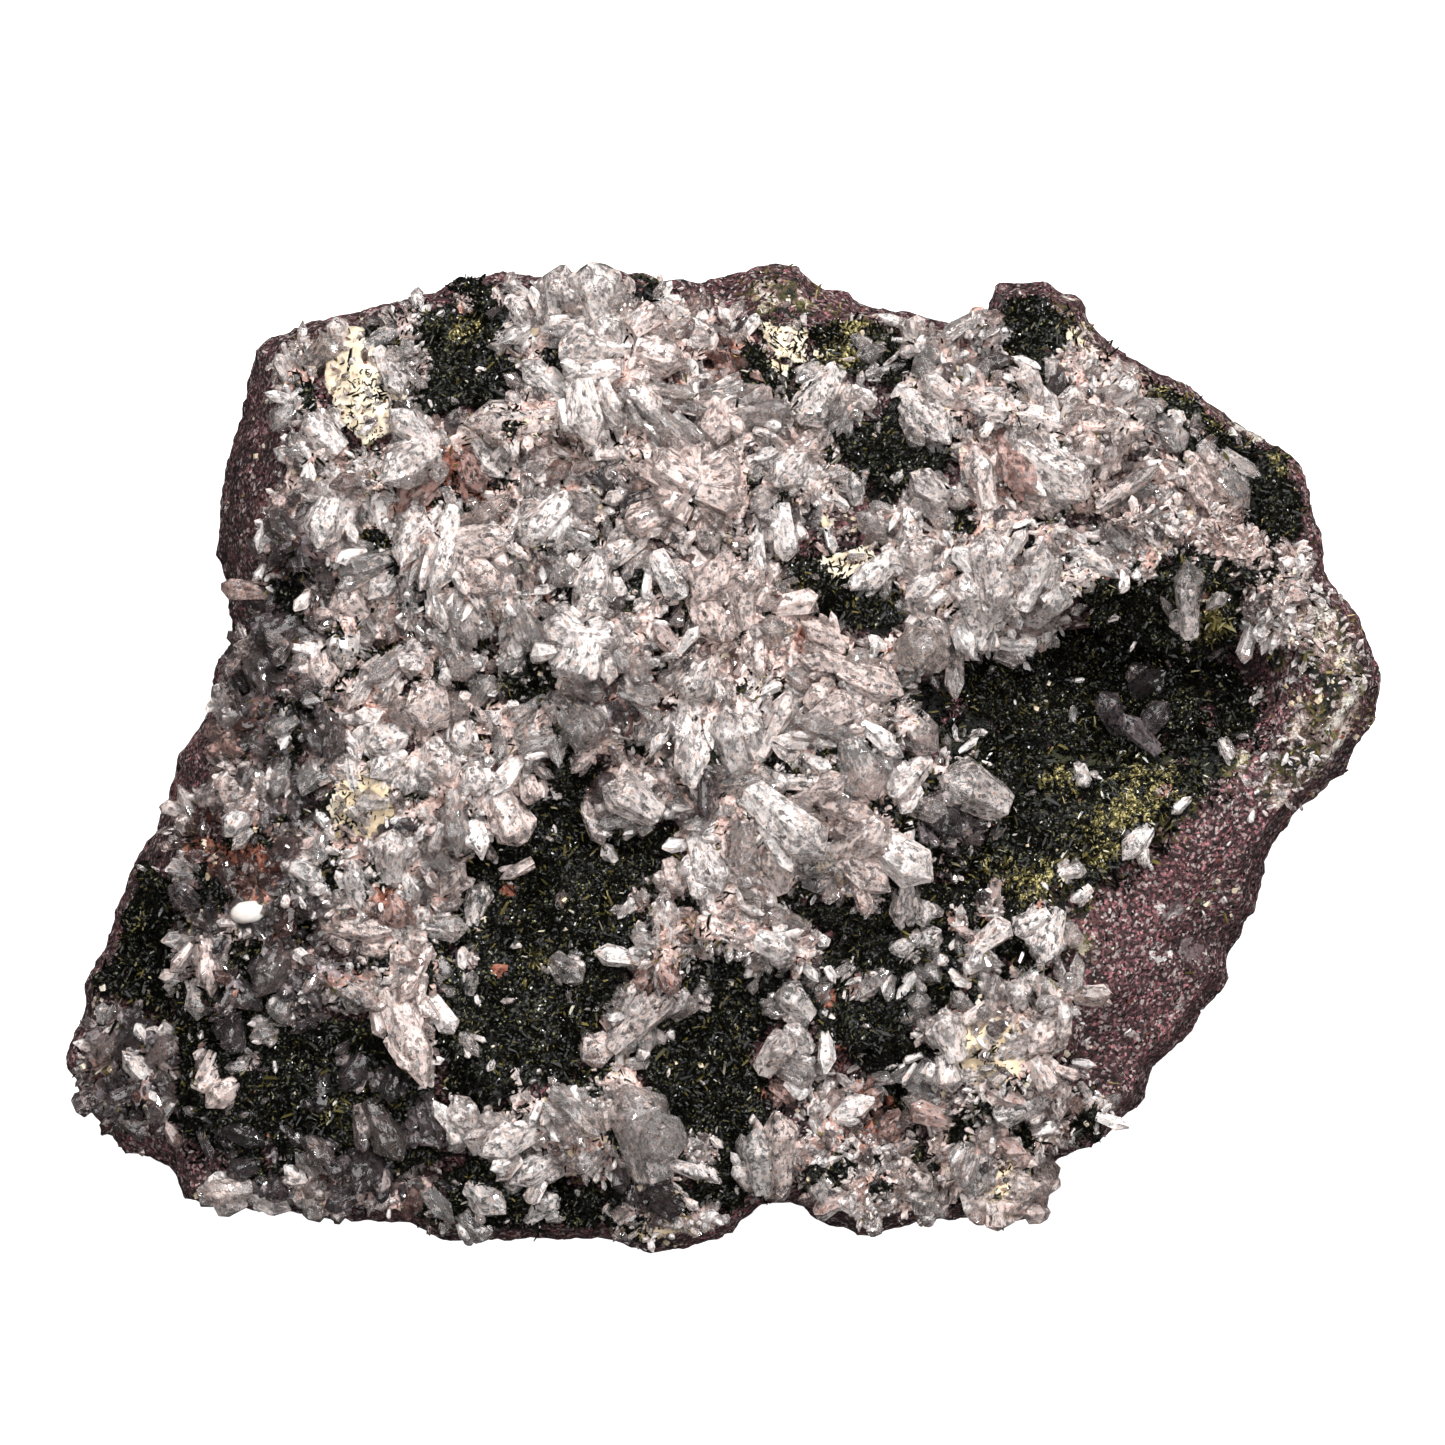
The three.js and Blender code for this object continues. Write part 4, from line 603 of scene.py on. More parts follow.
class Growth:
    """Crystals and crust gathered as arrays, to become one mesh."""

    def __init__(self):
        """Starts with nothing."""
        self.corners, self.triangles, self.slots = [], [], []
        self.smooth, self.tints, self.stains, self.clearness, self.inner = [], [], [], [], []
        self.count = 0

    def add_surface(self, surface, slots, tints, stains):
        """Takes in a surface as it is, shaded smooth, with a slot for each of its triangles."""
        corners, triangles = surface
        self.corners.append(corners)
        self.triangles.append(triangles + self.count)
        self.count += len(corners)
        self.slots.append(slots)
        self.smooth.append(np.ones(len(triangles), dtype=bool))
        self.tints.append(tints)
        self.stains.append(stains)
        self.clearness.append(np.zeros(len(corners)))
        self.inner.append(corners / MM)

    def add_copies(self, template, feet, ways, lengths, widths, slot, tints, stains, seed, clear=0):
        """Takes in a copy of a template on each foot, along its way, turned at random about it."""
        steep, tip_clearness, pattern_reach = 0.8, 0.35, 400
        if not len(feet):
            return
        corners, triangles = template
        random = np.random.default_rng(seed)
        ways = unit(ways)
        if len(feet) > 1:
            ways, lengths = kept_inside(feet, ways, lengths)
        spin = random.random(len(feet)) * 2 * math.pi
        side = unit(np.cross(ways, np.where(np.abs(ways[:, 2:3]) > steep, (1.0, 0, 0), (0, 0, 1.0))))
        other = np.cross(ways, side)
        across = side * np.cos(spin)[:, None] + other * np.sin(spin)[:, None]
        third = np.cross(ways, across)
        widths, tints, stains, clear = (
            np.broadcast_to(value, len(feet)) for value in (widths, tints, stains, clear))
        moved = (
            feet[:, None, :]
            + across[:, None, :] * (corners[None, :, 0:1] * widths[:, None, None])
            + third[:, None, :] * (corners[None, :, 1:2] * widths[:, None, None])
            + ways[:, None, :] * (corners[None, :, 2:3] * lengths[:, None, None])
        )
        starts = self.count + np.arange(len(feet)) * len(corners)
        self.corners.append(moved.reshape(-1, 3))
        self.triangles.append((triangles[None] + starts[:, None, None]).reshape(-1, 3))
        self.count += len(feet) * len(corners)
        self.slots.append(np.full(len(feet) * len(triangles), slot))
        self.smooth.append(np.zeros(len(feet) * len(triangles), dtype=bool))
        self.tints.append(np.repeat(tints, len(corners)))
        self.stains.append(np.repeat(stains, len(corners)))
        along = np.tile(corners[:, 2], len(feet))
        self.clearness.append(np.repeat(clear, len(corners)) + tip_clearness * along)
        own = corners[None] * np.stack([widths, widths, lengths], axis=1)[:, None, :] / MM
        self.inner.append((own + random.random((len(feet), 1, 3)) * pattern_reach).reshape(-1, 3))

    def piece(self, name, node, finish):
        """Makes the mesh object, which stands for its CAD node and rides on the specimen."""
        corners = np.concatenate(self.corners)
        triangles = np.concatenate(self.triangles)
        mesh = bpy.data.meshes.new(name)
        mesh.vertices.add(len(corners))
        mesh.vertices.foreach_set("co", corners.ravel())
        mesh.loops.add(len(triangles) * 3)
        mesh.loops.foreach_set("vertex_index", triangles.ravel())
        mesh.polygons.add(len(triangles))
        mesh.polygons.foreach_set("loop_start", np.arange(len(triangles)) * 3)
        mesh.polygons.foreach_set("material_index", np.concatenate(self.slots).astype(np.int32))
        mesh.polygons.foreach_set("use_smooth", np.concatenate(self.smooth))
        mesh.update(calc_edges=True)
        for title, values in (("tint", self.tints), ("stain", self.stains), ("clearness", self.clearness)):
            layer = mesh.attributes.new(title, "FLOAT", "POINT")
            layer.data.foreach_set("value", np.concatenate(values).astype(np.float32))
        layer = mesh.attributes.new("inner", "FLOAT_VECTOR", "POINT")
        layer.data.foreach_set("vector", np.concatenate(self.inner).astype(np.float32).ravel())
        for material in grown_materials():
            mesh.materials.append(material)
        piece = bpy.data.objects.new(name, mesh)
        bpy.context.collection.objects.link(piece)
        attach(piece, "root")
        if node:
            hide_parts(node)


def crust_of(node, detail, layers, smoothing=0):
    """A fine, roughened copy of a CAD node's mesh, as arrays, that stays above the ground."""
    source = frame["nodes"][node]
    mesh = source.data.copy()
    piece = bpy.data.objects.new(f"{node}_surface", mesh)
    bpy.context.collection.objects.link(piece)
    select_only(piece)
    bpy.ops.object.mode_set(mode="EDIT")
    bpy.ops.mesh.select_all(action="SELECT")
    bpy.ops.mesh.remove_doubles(threshold=1e-6)
    bpy.ops.object.mode_set(mode="OBJECT")
    remesh = piece.modifiers.new("fine_mesh", "REMESH")
    remesh.mode = "VOXEL"
    remesh.voxel_size = detail
    if smoothing:
        worn = piece.modifiers.new("worn_edges", "SMOOTH")
        worn.factor = 0.5
        worn.iterations = smoothing
    for number, (basis, lump, height) in enumerate(layers):
        texture = bpy.data.textures.new(f"{node}_roughness_{number}", "CLOUDS")
        texture.noise_basis = basis
        texture.noise_scale = lump
        texture.noise_depth = 2
        roughen = piece.modifiers.new(f"roughness_{number}", "DISPLACE")
        roughen.texture = texture
        roughen.strength = height
        roughen.mid_level = 0.5
    for modifier in list(piece.modifiers):
        bpy.ops.object.modifier_apply(modifier=modifier.name)
    corners, triangles = taken(piece)
    corners[:, 2] = np.maximum(corners[:, 2], 0)
    return corners, triangles


# Materials


def add_node(tree, kind, settings=None, links=None):
    """Adds a node: settings are its own values, its sockets' values or its ramp's stops."""
    node = tree.nodes.new(kind)
    for key, value in (settings or {}).items():
        if key == "stops":
            ramp = node.color_ramp
            while len(ramp.elements) < len(value):
                ramp.elements.new(0.5)
            for element, (place, colour) in zip(ramp.elements, value):
                element.position = place
                element.color = (*colour, 1)
        elif isinstance(key, str) and hasattr(node, key):
            setattr(node, key, value)
        else:
            node.inputs[key].default_value = value
    for key, socket in (links or {}).items():
        tree.links.new(socket, node.inputs[key])
    return node


def new_material(name, **constants):
    """A material with constants on its shader's own sockets; returns it, its tree and its shader."""
    material = bpy.data.materials.new(name)
    material.use_nodes = True
    tree = material.node_tree
    shader = tree.nodes["Principled BSDF"]
    for key, value in constants.items():
        shader.inputs[key.replace("_", " ")].default_value = value
    return material, tree, shader


def shade(level):
    """A grey of that level, for ramps that drive a number."""
    return (level, level, level)


# settings of the node that mixes colours, and its sockets by number
MIX = {"data_type": "RGBA"}
MULTIPLY = {"data_type": "RGBA", "blend_type": "MULTIPLY", 0: 1.0}
SHARE, FIRST, SECOND, MIXED = 0, 6, 7, 2


def facet_normal(tree, cells, amount):
    """The surface's normal turned by that amount in each cell of a pattern, as small facets are."""
    turned = add_node(tree, "ShaderNodeVectorMath", {"operation": "SUBTRACT", 1: (0.5, 0.5, 0.5)},
                      {0: cells})
    scaled = add_node(tree, "ShaderNodeVectorMath", {"operation": "SCALE", "Scale": amount},
                      {0: turned.outputs[0]})
    normal = add_node(tree, "ShaderNodeNewGeometry").outputs["Normal"]
    summed = add_node(tree, "ShaderNodeVectorMath", {"operation": "ADD"},
                      {0: normal, 1: scaled.outputs[0]})
    return add_node(tree, "ShaderNodeVectorMath", {"operation": "NORMALIZE"},
                    {0: summed.outputs[0]}).outputs[0]


# the minerals that the broken faces cut through: the least share that shows, and the colours of flecks
ROCK_MINERALS = (
    ("white", 0.92, ((0.35, "#6F5C5E"), (0.5, "#B9ADAC"), (0.65, "#EFE9E6"))),
    ("green", 0.85, ((0.36, "#0D0F0A"), (0.46, "#3A3B1D"), (0.54, "#76723A"), (0.62, "#4A3436"),
                     (0.72, "#D8CDB2"))),
    ("mottled", 0.62, ((0.32, "#14160F"), (0.4, "#5A5730"), (0.46, "#5C3C42"), (0.53, "#A88D86"),
                       (0.6, "#DCCBBF"), (0.72, "#F8F1E6"))),
    ("dark", 0.5, ((0.4, "#050604"), (0.55, "#14180E"), (0.68, "#3A3B22"))),
)


def rock_material():
    """Volcanic rock, broken: maroon fine-grained groundmass that glints, mottled with other minerals."""
    kept = colours()
    material, tree, shader = new_material("broken_volcanic_rock", IOR=1.5)
    place = add_node(tree, "ShaderNodeTexCoord").outputs["Object"]
    # clouds of colour 8 mm across
    clouds = add_node(tree, "ShaderNodeTexNoise", {"Scale": 125, "Detail": 5, "Roughness": 0.66},
                      {"Vector": place})
    body = add_node(tree, "ShaderNodeValToRGB", {"stops": (
        (0.32, tuple(kept.rock_dark)), (0.5, tuple(kept.rock_body)), (0.72, linear("#6E494D")))},
        {"Fac": clouds.outputs["Fac"]})
    # grains of a quarter of a millimetre: most dark or maroon, some pale
    grains = add_node(tree, "ShaderNodeTexVoronoi", {"Scale": 3000}, {"Vector": place})
    tones = add_node(tree, "ShaderNodeSeparateColor", links={"Color": grains.outputs["Color"]})
    tone = add_node(tree, "ShaderNodeValToRGB", {"stops": (
        (0.0, shade(0.06)), (0.45, shade(0.45)), (0.8, shade(1.7)), (1.0, shade(5.5)))},
        {"Fac": tones.outputs["Red"]})
    specked = add_node(tree, "ShaderNodeMix", MULTIPLY,
                       {FIRST: body.outputs["Color"], SECOND: tone.outputs["Color"]})
    pale = add_node(tree, "ShaderNodeValToRGB", {"stops": ((0.91, shade(0)), (0.94, shade(1.0)))},
                    {"Fac": tones.outputs["Green"]})
    # pale flakes of half a millimetre
    flakes = add_node(tree, "ShaderNodeTexVoronoi", {"Scale": 2100}, {"Vector": place})
    drawn = add_node(tree, "ShaderNodeSeparateColor", links={"Color": flakes.outputs["Color"]})
    flake = add_node(tree, "ShaderNodeValToRGB", {"stops": ((0.91, shade(0)), (0.95, shade(0.75)))},
                     {"Fac": drawn.outputs["Red"]})
    for share in (pale, flake):
        specked = add_node(tree, "ShaderNodeMix", {**MIX, SECOND: (*kept.rock_speck, 1)},
                           {SHARE: share.outputs["Color"], FIRST: specked.outputs[MIXED]})
    # iron oxide gathers in patches of about 12 mm
    patches = add_node(tree, "ShaderNodeTexNoise", {"Scale": 85, "Detail": 5}, {"Vector": place})
    patch = add_node(tree, "ShaderNodeValToRGB", {"stops": ((0.6, shade(0)), (0.75, shade(0.5)))},
                     {"Fac": patches.outputs["Fac"]})
    colour = add_node(tree, "ShaderNodeMix", {**MIX, SECOND: (*linear("#7C4A40"), 1)},
                      {SHARE: patch.outputs["Color"], FIRST: specked.outputs[MIXED]})
    # the other minerals, in flecks of about half a millimetre
    fine = add_node(tree, "ShaderNodeTexNoise", {"Scale": 1100, "Detail": 6, "Roughness": 0.8},
                    {"Vector": place}).outputs["Fac"]
    wide = add_node(tree, "ShaderNodeTexNoise", {"Scale": 170, "Detail": 3}, {"Vector": place})
    flecks = add_node(tree, "ShaderNodeMath", {"operation": "MULTIPLY_ADD", 1: 1.9},
                      {0: wide.outputs["Fac"], 2: fine})
    flecks = add_node(tree, "ShaderNodeMath", {"operation": "SUBTRACT", 1: 0.95},
                      {0: flecks.outputs[0]}).outputs[0]
    edges = add_node(tree, "ShaderNodeTexNoise", {"Scale": 420, "Detail": 4, "Roughness": 0.7},
                     {"Vector": place}).outputs["Fac"]
    broken = add_node(tree, "ShaderNodeMapRange", {"From Min": 0.3, "From Max": 0.7, "To Min": 0.3,
                                                   "To Max": 1.7}, {"Value": edges}).outputs[0]
    for name, least, stops in ROCK_MINERALS:
        share = add_node(tree, "ShaderNodeAttribute", {"attribute_name": name}).outputs["Fac"]
        ragged = add_node(tree, "ShaderNodeMath", {"operation": "MULTIPLY"}, {0: share, 1: broken})
        mask = add_node(tree, "ShaderNodeMapRange", {"From Min": least, "From Max": least + 0.1},
                        {"Value": ragged.outputs[0]})
        stops = [(level, linear(code)) for level, code in stops]
        look = add_node(tree, "ShaderNodeValToRGB", {"stops": stops}, {"Fac": flecks})
        colour = add_node(tree, "ShaderNodeMix", MIX, {
            SHARE: mask.outputs[0], FIRST: colour.outputs[MIXED], SECOND: look.outputs["Color"]})
    tree.links.new(colour.outputs[MIXED], shader.inputs["Base Color"])
    dullness = add_node(tree, "ShaderNodeValToRGB", {"stops": ((0.1, shade(0.22)), (0.3, shade(0.7)))},
                        {"Fac": tones.outputs["Blue"]})
    tree.links.new(dullness.outputs["Color"], shader.inputs["Roughness"])
    coarse = add_node(tree, "ShaderNodeTexNoise", {"Scale": 1000, "Detail": 4, "Roughness": 0.78},
                      {"Vector": place})
    bump = add_node(tree, "ShaderNodeBump", {"Strength": 1.0, "Distance": 1.2 * MM},
                    {"Height": coarse.outputs["Fac"],
                     "Normal": facet_normal(tree, grains.outputs["Color"], 1.5)})
    tree.links.new(bump.outputs["Normal"], shader.inputs["Normal"])
    return material


def epidote_material():
    """Epidote crystal, grown: glassy near-black green blades; the glinting few are glossier, and the
    palest of them are painted near-white as painted glints.
    """
    kept = colours()
    material, tree, shader = new_material("epidote_crystal", IOR=1.73,
                                          Specular_IOR_Level=0.14)
    tint, stain = (add_node(tree, "ShaderNodeAttribute", {"attribute_name": name}).outputs["Fac"]
                   for name in ("tint", "stain"))
    # the top of both tint ramps paints the glinting blades pale grey to near-white: painted glints
    green = add_node(tree, "ShaderNodeValToRGB", {"stops": (
        (0.0, tuple(kept.epidote_dark)), (0.6, tuple(kept.epidote_body)), (0.75, linear("#262315")),
        (0.93, linear("#5F5A44")), (1.0, linear("#CBC6B8")))}, {"Fac": tint})
    rim = add_node(tree, "ShaderNodeValToRGB", {"stops": (
        (0.0, linear("#3A3619")), (0.5, tuple(kept.epidote_rim)), (0.85, linear("#B3A570")),
        (1.0, linear("#E9E4CC")))}, {"Fac": tint})
    colour = add_node(tree, "ShaderNodeMix", MIX, {
        SHARE: stain, FIRST: green.outputs["Color"], SECOND: rim.outputs["Color"]})
    tree.links.new(colour.outputs[MIXED], shader.inputs["Base Color"])
    # most faces are etched and dull, the glinting few are glossy
    gloss = add_node(tree, "ShaderNodeMapRange", {"From Min": 0.2, "From Max": 0.7, "To Min": 0.14,
                                                  "To Max": 0.06}, {"Value": tint})
    tree.links.new(gloss.outputs[0], shader.inputs["Roughness"])
    return material


def epidote_crust_material():
    """Epidote crust between the blades: near-black with olive patches, and small facets that glint."""
    kept = colours()
    material, tree, shader = new_material("epidote_crust", IOR=1.73, Specular_IOR_Level=0.14)
    place = add_node(tree, "ShaderNodeTexCoord").outputs["Object"]
    stain = add_node(tree, "ShaderNodeAttribute", {"attribute_name": "stain"}).outputs["Fac"]
    # facets of a quarter of a millimetre, each turned its own way
    facets = add_node(tree, "ShaderNodeTexVoronoi", {"Scale": 3800}, {"Vector": place})
    tones = add_node(tree, "ShaderNodeSeparateColor", links={"Color": facets.outputs["Color"]})
    # the palest few facets are painted lighter grey-olive: painted glints as well as olive specks
    green = add_node(tree, "ShaderNodeValToRGB", {"stops": (
        (0.0, linear("#020302")), (0.84, tuple(kept.epidote_body)), (0.95, linear("#2A2C18")),
        (1.0, linear("#73724F")))}, {"Fac": tones.outputs["Red"]})
    olive = add_node(tree, "ShaderNodeValToRGB", {"stops": (
        (0.0, linear("#1E1C0F")), (0.4, linear("#524B27")), (0.75, linear("#8C8050")),
        (1.0, linear("#D0C28C")))}, {"Fac": tones.outputs["Green"]})
    edges = add_node(tree, "ShaderNodeTexNoise", {"Scale": 640, "Detail": 5, "Roughness": 0.7},
                     {"Vector": place}).outputs["Fac"]
    wide = add_node(tree, "ShaderNodeTexNoise", {"Scale": 110, "Detail": 2}, {"Vector": place})
    share = add_node(tree, "ShaderNodeMath", {"operation": "MULTIPLY_ADD", 1: 0.5},
                     {0: wide.outputs["Fac"], 2: edges})
    share = add_node(tree, "ShaderNodeMath", {"operation": "MULTIPLY_ADD", 1: 0.27},
                     {0: stain, 2: share.outputs[0]})
    mask = add_node(tree, "ShaderNodeMapRange", {"From Min": 1.0, "From Max": 1.06},
                    {"Value": share.outputs[0]})
    colour = add_node(tree, "ShaderNodeMix", MIX, {
        SHARE: mask.outputs[0], FIRST: green.outputs["Color"], SECOND: olive.outputs["Color"]})
    tree.links.new(colour.outputs[MIXED], shader.inputs["Base Color"])
    gloss = add_node(tree, "ShaderNodeMapRange", {"From Min": 0.5, "From Max": 0.9, "To Min": 0.4,
                                                  "To Max": 0.08}, {"Value": tones.outputs["Blue"]})
    tree.links.new(gloss.outputs[0], shader.inputs["Roughness"])
    tree.links.new(facet_normal(tree, facets.outputs["Color"], 1.3), shader.inputs["Normal"])
    return material


def quartz_material():
    """Quartz crystal, grown: glassy faces over milky veils, clear windows and healed cracks that glint."""
    kept = colours()
    material, tree, shader = new_material("quartz_crystal", IOR=1.544, Roughness=0.03)
    tint, stain, clearness = (
        add_node(tree, "ShaderNodeAttribute", {"attribute_name": name}).outputs["Fac"]
        for name in ("tint", "stain", "clearness"))
    inner = add_node(tree, "ShaderNodeAttribute", {"attribute_name": "inner"}).outputs["Vector"]
    # veils of about a millimetre, finely broken up
    stretched = add_node(tree, "ShaderNodeMapping", {"Scale": (1.5, 1.5, 0.95)}, {"Vector": inner})
    veils = add_node(tree, "ShaderNodeTexNoise", {"Scale": 1.0, "Detail": 5, "Roughness": 0.68},
                     {"Vector": stretched.outputs[0]})
    # cracks part the crystal into splinters half a millimetre wide, each of its own tone and slant
    warped = add_node(tree, "ShaderNodeVectorMath", {"operation": "MULTIPLY_ADD", 1: (2.4, 2.4, 2.4)},
                      {0: veils.outputs["Color"], 2: inner})
    slender = add_node(tree, "ShaderNodeMapping", {"Scale": (2.0, 2.0, 0.9)},
                       {"Vector": warped.outputs[0]})
    splinters = add_node(tree, "ShaderNodeTexVoronoi", {"Scale": 1.0}, {"Vector": slender.outputs[0]})
    tones = add_node(tree, "ShaderNodeSeparateColor", links={"Color": splinters.outputs["Color"]})
    # a tint near 1 gives the smoky grey: smoky tone, and painted shade for crystals that lie in shade
    clean = add_node(tree, "ShaderNodeValToRGB", {"stops": (
        (0.1, tuple(kept.quartz_clear)), (0.65, tuple(kept.quartz_pink)), (0.8, tuple(kept.quartz_pink)),
        (1.0, tuple(kept.quartz_smoky_and_shaded)))}, {"Fac": tint})
    # between the veils the colour of the ground and of rust shows
    cloudy = add_node(tree, "ShaderNodeValToRGB", {"stops": (
        (0.3, linear("#7E6A61")), (0.37, linear("#C9B5AB")), (0.43, linear("#EFE6E2")),
        (0.52, shade(1.0)))}, {"Fac": veils.outputs["Fac"]})
    cracked = add_node(tree, "ShaderNodeValToRGB", {"stops": (
        (0.0, shade(0.28)), (0.22, shade(0.9)), (0.7, shade(1.0)))}, {"Fac": tones.outputs["Red"]})
    body = clean.outputs["Color"]
    for tone in (cloudy, cracked):
        body = add_node(tree, "ShaderNodeMix", MULTIPLY,
                        {FIRST: body, SECOND: tone.outputs["Color"]}).outputs[MIXED]
    colour = add_node(tree, "ShaderNodeMix", {**MIX, SECOND: (*kept.iron_stain, 1)},
                      {SHARE: stain, FIRST: body})
    tree.links.new(colour.outputs[MIXED], shader.inputs["Base Color"])
    # clear windows between the veils, a splinter's width across
    veiled = add_node(tree, "ShaderNodeMath", {"operation": "MULTIPLY_ADD", 1: 0.32},
                      {0: clearness, 2: veils.outputs["Fac"]})
    window = add_node(tree, "ShaderNodeMath", {"operation": "MULTIPLY_ADD", 1: 0.16},
                      {0: tones.outputs["Green"], 2: veiled.outputs[0]})
    clear = add_node(tree, "ShaderNodeMapRange", {"From Min": 0.67, "From Max": 0.86, "To Min": 0.1,
                                                  "To Max": 0.88}, {"Value": window.outputs[0]})
    tree.links.new(clear.outputs[0], shader.inputs["Transmission Weight"])
    tree.links.new(facet_normal(tree, splinters.outputs["Color"], 0.75), shader.inputs["Normal"])
    return material


def quartz_crust_material():
    """Massive quartz under the crystals: milky, pinkish grey, of small grains that glint."""
    kept = colours()
    material, tree, shader = new_material("massive_quartz", IOR=1.54, Roughness=0.15)
    place = add_node(tree, "ShaderNodeTexCoord").outputs["Object"]
    stain = add_node(tree, "ShaderNodeAttribute", {"attribute_name": "stain"}).outputs["Fac"]
    clouds = add_node(tree, "ShaderNodeTexNoise", {"Scale": 520, "Detail": 5, "Roughness": 0.65},
                      {"Vector": place})
    # the darkest clouds, brown-grey, are partly painted shade for the gaps between the crystals and partly
    # the brown ground
    milky = add_node(tree, "ShaderNodeValToRGB", {"stops": (
        (0.3, linear("#4E3C37")), (0.42, linear("#AE928A")), (0.55, linear("#E0CCC5")),
        (0.8, linear("#F8F0ED")))}, {"Fac": clouds.outputs["Fac"]})
    # grains of a quarter of a millimetre
    grains = add_node(tree, "ShaderNodeTexVoronoi", {"Scale": 3600}, {"Vector": place})
    tones = add_node(tree, "ShaderNodeSeparateColor", links={"Color": grains.outputs["Color"]})
    tone = add_node(tree, "ShaderNodeValToRGB", {"stops": (
        (0.0, shade(0.4)), (0.25, shade(0.9)), (0.9, shade(1.1)))}, {"Fac": tones.outputs["Red"]})
    grainy = add_node(tree, "ShaderNodeMix", MULTIPLY,
                      {FIRST: milky.outputs["Color"], SECOND: tone.outputs["Color"]})
    # in the dim spots the crust is painted smoky grey: painted shade where it lies in shade
    dim = add_node(tree, "ShaderNodeAttribute", {"attribute_name": "tint"}).outputs["Fac"]
    shaded = add_node(tree, "ShaderNodeMix", {**MIX, SECOND: (*kept.quartz_smoky_and_shaded, 1)},
                      {SHARE: dim, FIRST: grainy.outputs[MIXED]})
    # iron has stained it here and there
    patches = add_node(tree, "ShaderNodeTexNoise", {"Scale": 260, "Detail": 4, "Roughness": 0.6},
                       {"Vector": place})
    rusty = add_node(tree, "ShaderNodeMath", {"operation": "ADD"}, {0: stain, 1: patches.outputs["Fac"]})
    rust = add_node(tree, "ShaderNodeMapRange", {"From Min": 0.46, "From Max": 0.72, "To Min": 0.0,
                                                 "To Max": 0.85}, {"Value": rusty.outputs[0]})
    colour = add_node(tree, "ShaderNodeMix", {**MIX, SECOND: (*linear("#A8705C"), 1)},
                      {SHARE: rust.outputs[0], FIRST: shaded.outputs[MIXED]})
    tree.links.new(colour.outputs[MIXED], shader.inputs["Base Color"])
    bump = add_node(tree, "ShaderNodeBump", {"Strength": 0.8, "Distance": 0.35 * MM},
                    {"Height": clouds.outputs["Fac"],
                     "Normal": facet_normal(tree, grains.outputs["Color"], 0.9)})
    tree.links.new(bump.outputs["Normal"], shader.inputs["Normal"])
    return material


def feldspar_material():
    """Feldspar grains, broken: dull cream with a satin cleavage shine."""
    kept = colours()
    material, tree, shader = new_material("feldspar_grain", IOR=1.53, Roughness=0.5)
    tint = add_node(tree, "ShaderNodeAttribute", {"attribute_name": "tint"}).outputs["Fac"]
    place = add_node(tree, "ShaderNodeTexCoord").outputs["Object"]
    clouds = add_node(tree, "ShaderNodeTexNoise", {"Scale": 900, "Detail": 4}, {"Vector": place})
    cream = add_node(tree, "ShaderNodeMix",
                     {**MIX, FIRST: (*kept.feldspar, 1), SECOND: (*linear("#E6DBC9"), 1)}, {SHARE: tint})
    tone = add_node(tree, "ShaderNodeValToRGB", {"stops": ((0.3, shade(0.72)), (0.65, shade(1.05)))},
                    {"Fac": clouds.outputs["Fac"]})
    colour = add_node(tree, "ShaderNodeMix", MULTIPLY,
                      {FIRST: cream.outputs[MIXED], SECOND: tone.outputs["Color"]})
    tree.links.new(colour.outputs[MIXED], shader.inputs["Base Color"])
    bump = add_node(tree, "ShaderNodeBump", {"Strength": 0.7, "Distance": 0.2 * MM},
                    {"Height": clouds.outputs["Fac"]})
    tree.links.new(bump.outputs["Normal"], shader.inputs["Normal"])
    return material


def clay_material():
    """Hematite clay, earthy: matt rust-red crumbs, painted darker and browner in the hollows between them
    as painted shade.
    """
    kept = colours()
    material, tree, shader = new_material("hematite_clay", IOR=1.45, Roughness=0.85)
    place = add_node(tree, "ShaderNodeTexCoord").outputs["Object"]
    crumbs = add_node(tree, "ShaderNodeTexNoise", {"Scale": 1100, "Detail": 6, "Roughness": 0.7},
                      {"Vector": place})
    # the low end of the crumbs' noise, the hollows of the bump, is painted dark brown: painted shade
    earthy = add_node(tree, "ShaderNodeValToRGB", {"stops": (
        (0.34, linear("#2E1713")), (0.5, tuple(kept.iron_stain)), (0.72, linear("#C4907B")))},
        {"Fac": crumbs.outputs["Fac"]})
    tree.links.new(earthy.outputs["Color"], shader.inputs["Base Color"])
    bump = add_node(tree, "ShaderNodeBump", {"Strength": 1.0, "Distance": 0.5 * MM},
                    {"Height": crumbs.outputs["Fac"]})
    tree.links.new(bump.outputs["Normal"], shader.inputs["Normal"])
    return material


def bead_material():
    """A waxy mineral bead: off-white, with a soft shine from light that enters it."""
    material, tree, shader = new_material("waxy_bead", IOR=1.48, Roughness=0.3, Subsurface_Weight=0.3,
                                          Subsurface_Scale=1.5 * MM)
    place = add_node(tree, "ShaderNodeTexCoord").outputs["Object"]
    clouds = add_node(tree, "ShaderNodeTexNoise", {"Scale": 500, "Detail": 3}, {"Vector": place})
    colour = add_node(tree, "ShaderNodeMix",
                      {**MIX, FIRST: (*linear("#E6E0DB"), 1), SECOND: (*linear("#C9BEB6"), 1)},
                      {SHARE: clouds.outputs["Fac"]})
    tree.links.new(colour.outputs[MIXED], shader.inputs["Base Color"])
    return material


SLOT_CRUST_DARK, SLOT_CRUST_PALE, SLOT_CREAM, SLOT_CLAY, SLOT_EPIDOTE, SLOT_QUARTZ = range(6)


@cache
def grown_materials():
    """The materials of the grown pieces, in the order of their slots."""
    return [epidote_crust_material(), quartz_crust_material(), feldspar_material(), clay_material(),
            epidote_material(), quartz_material()]


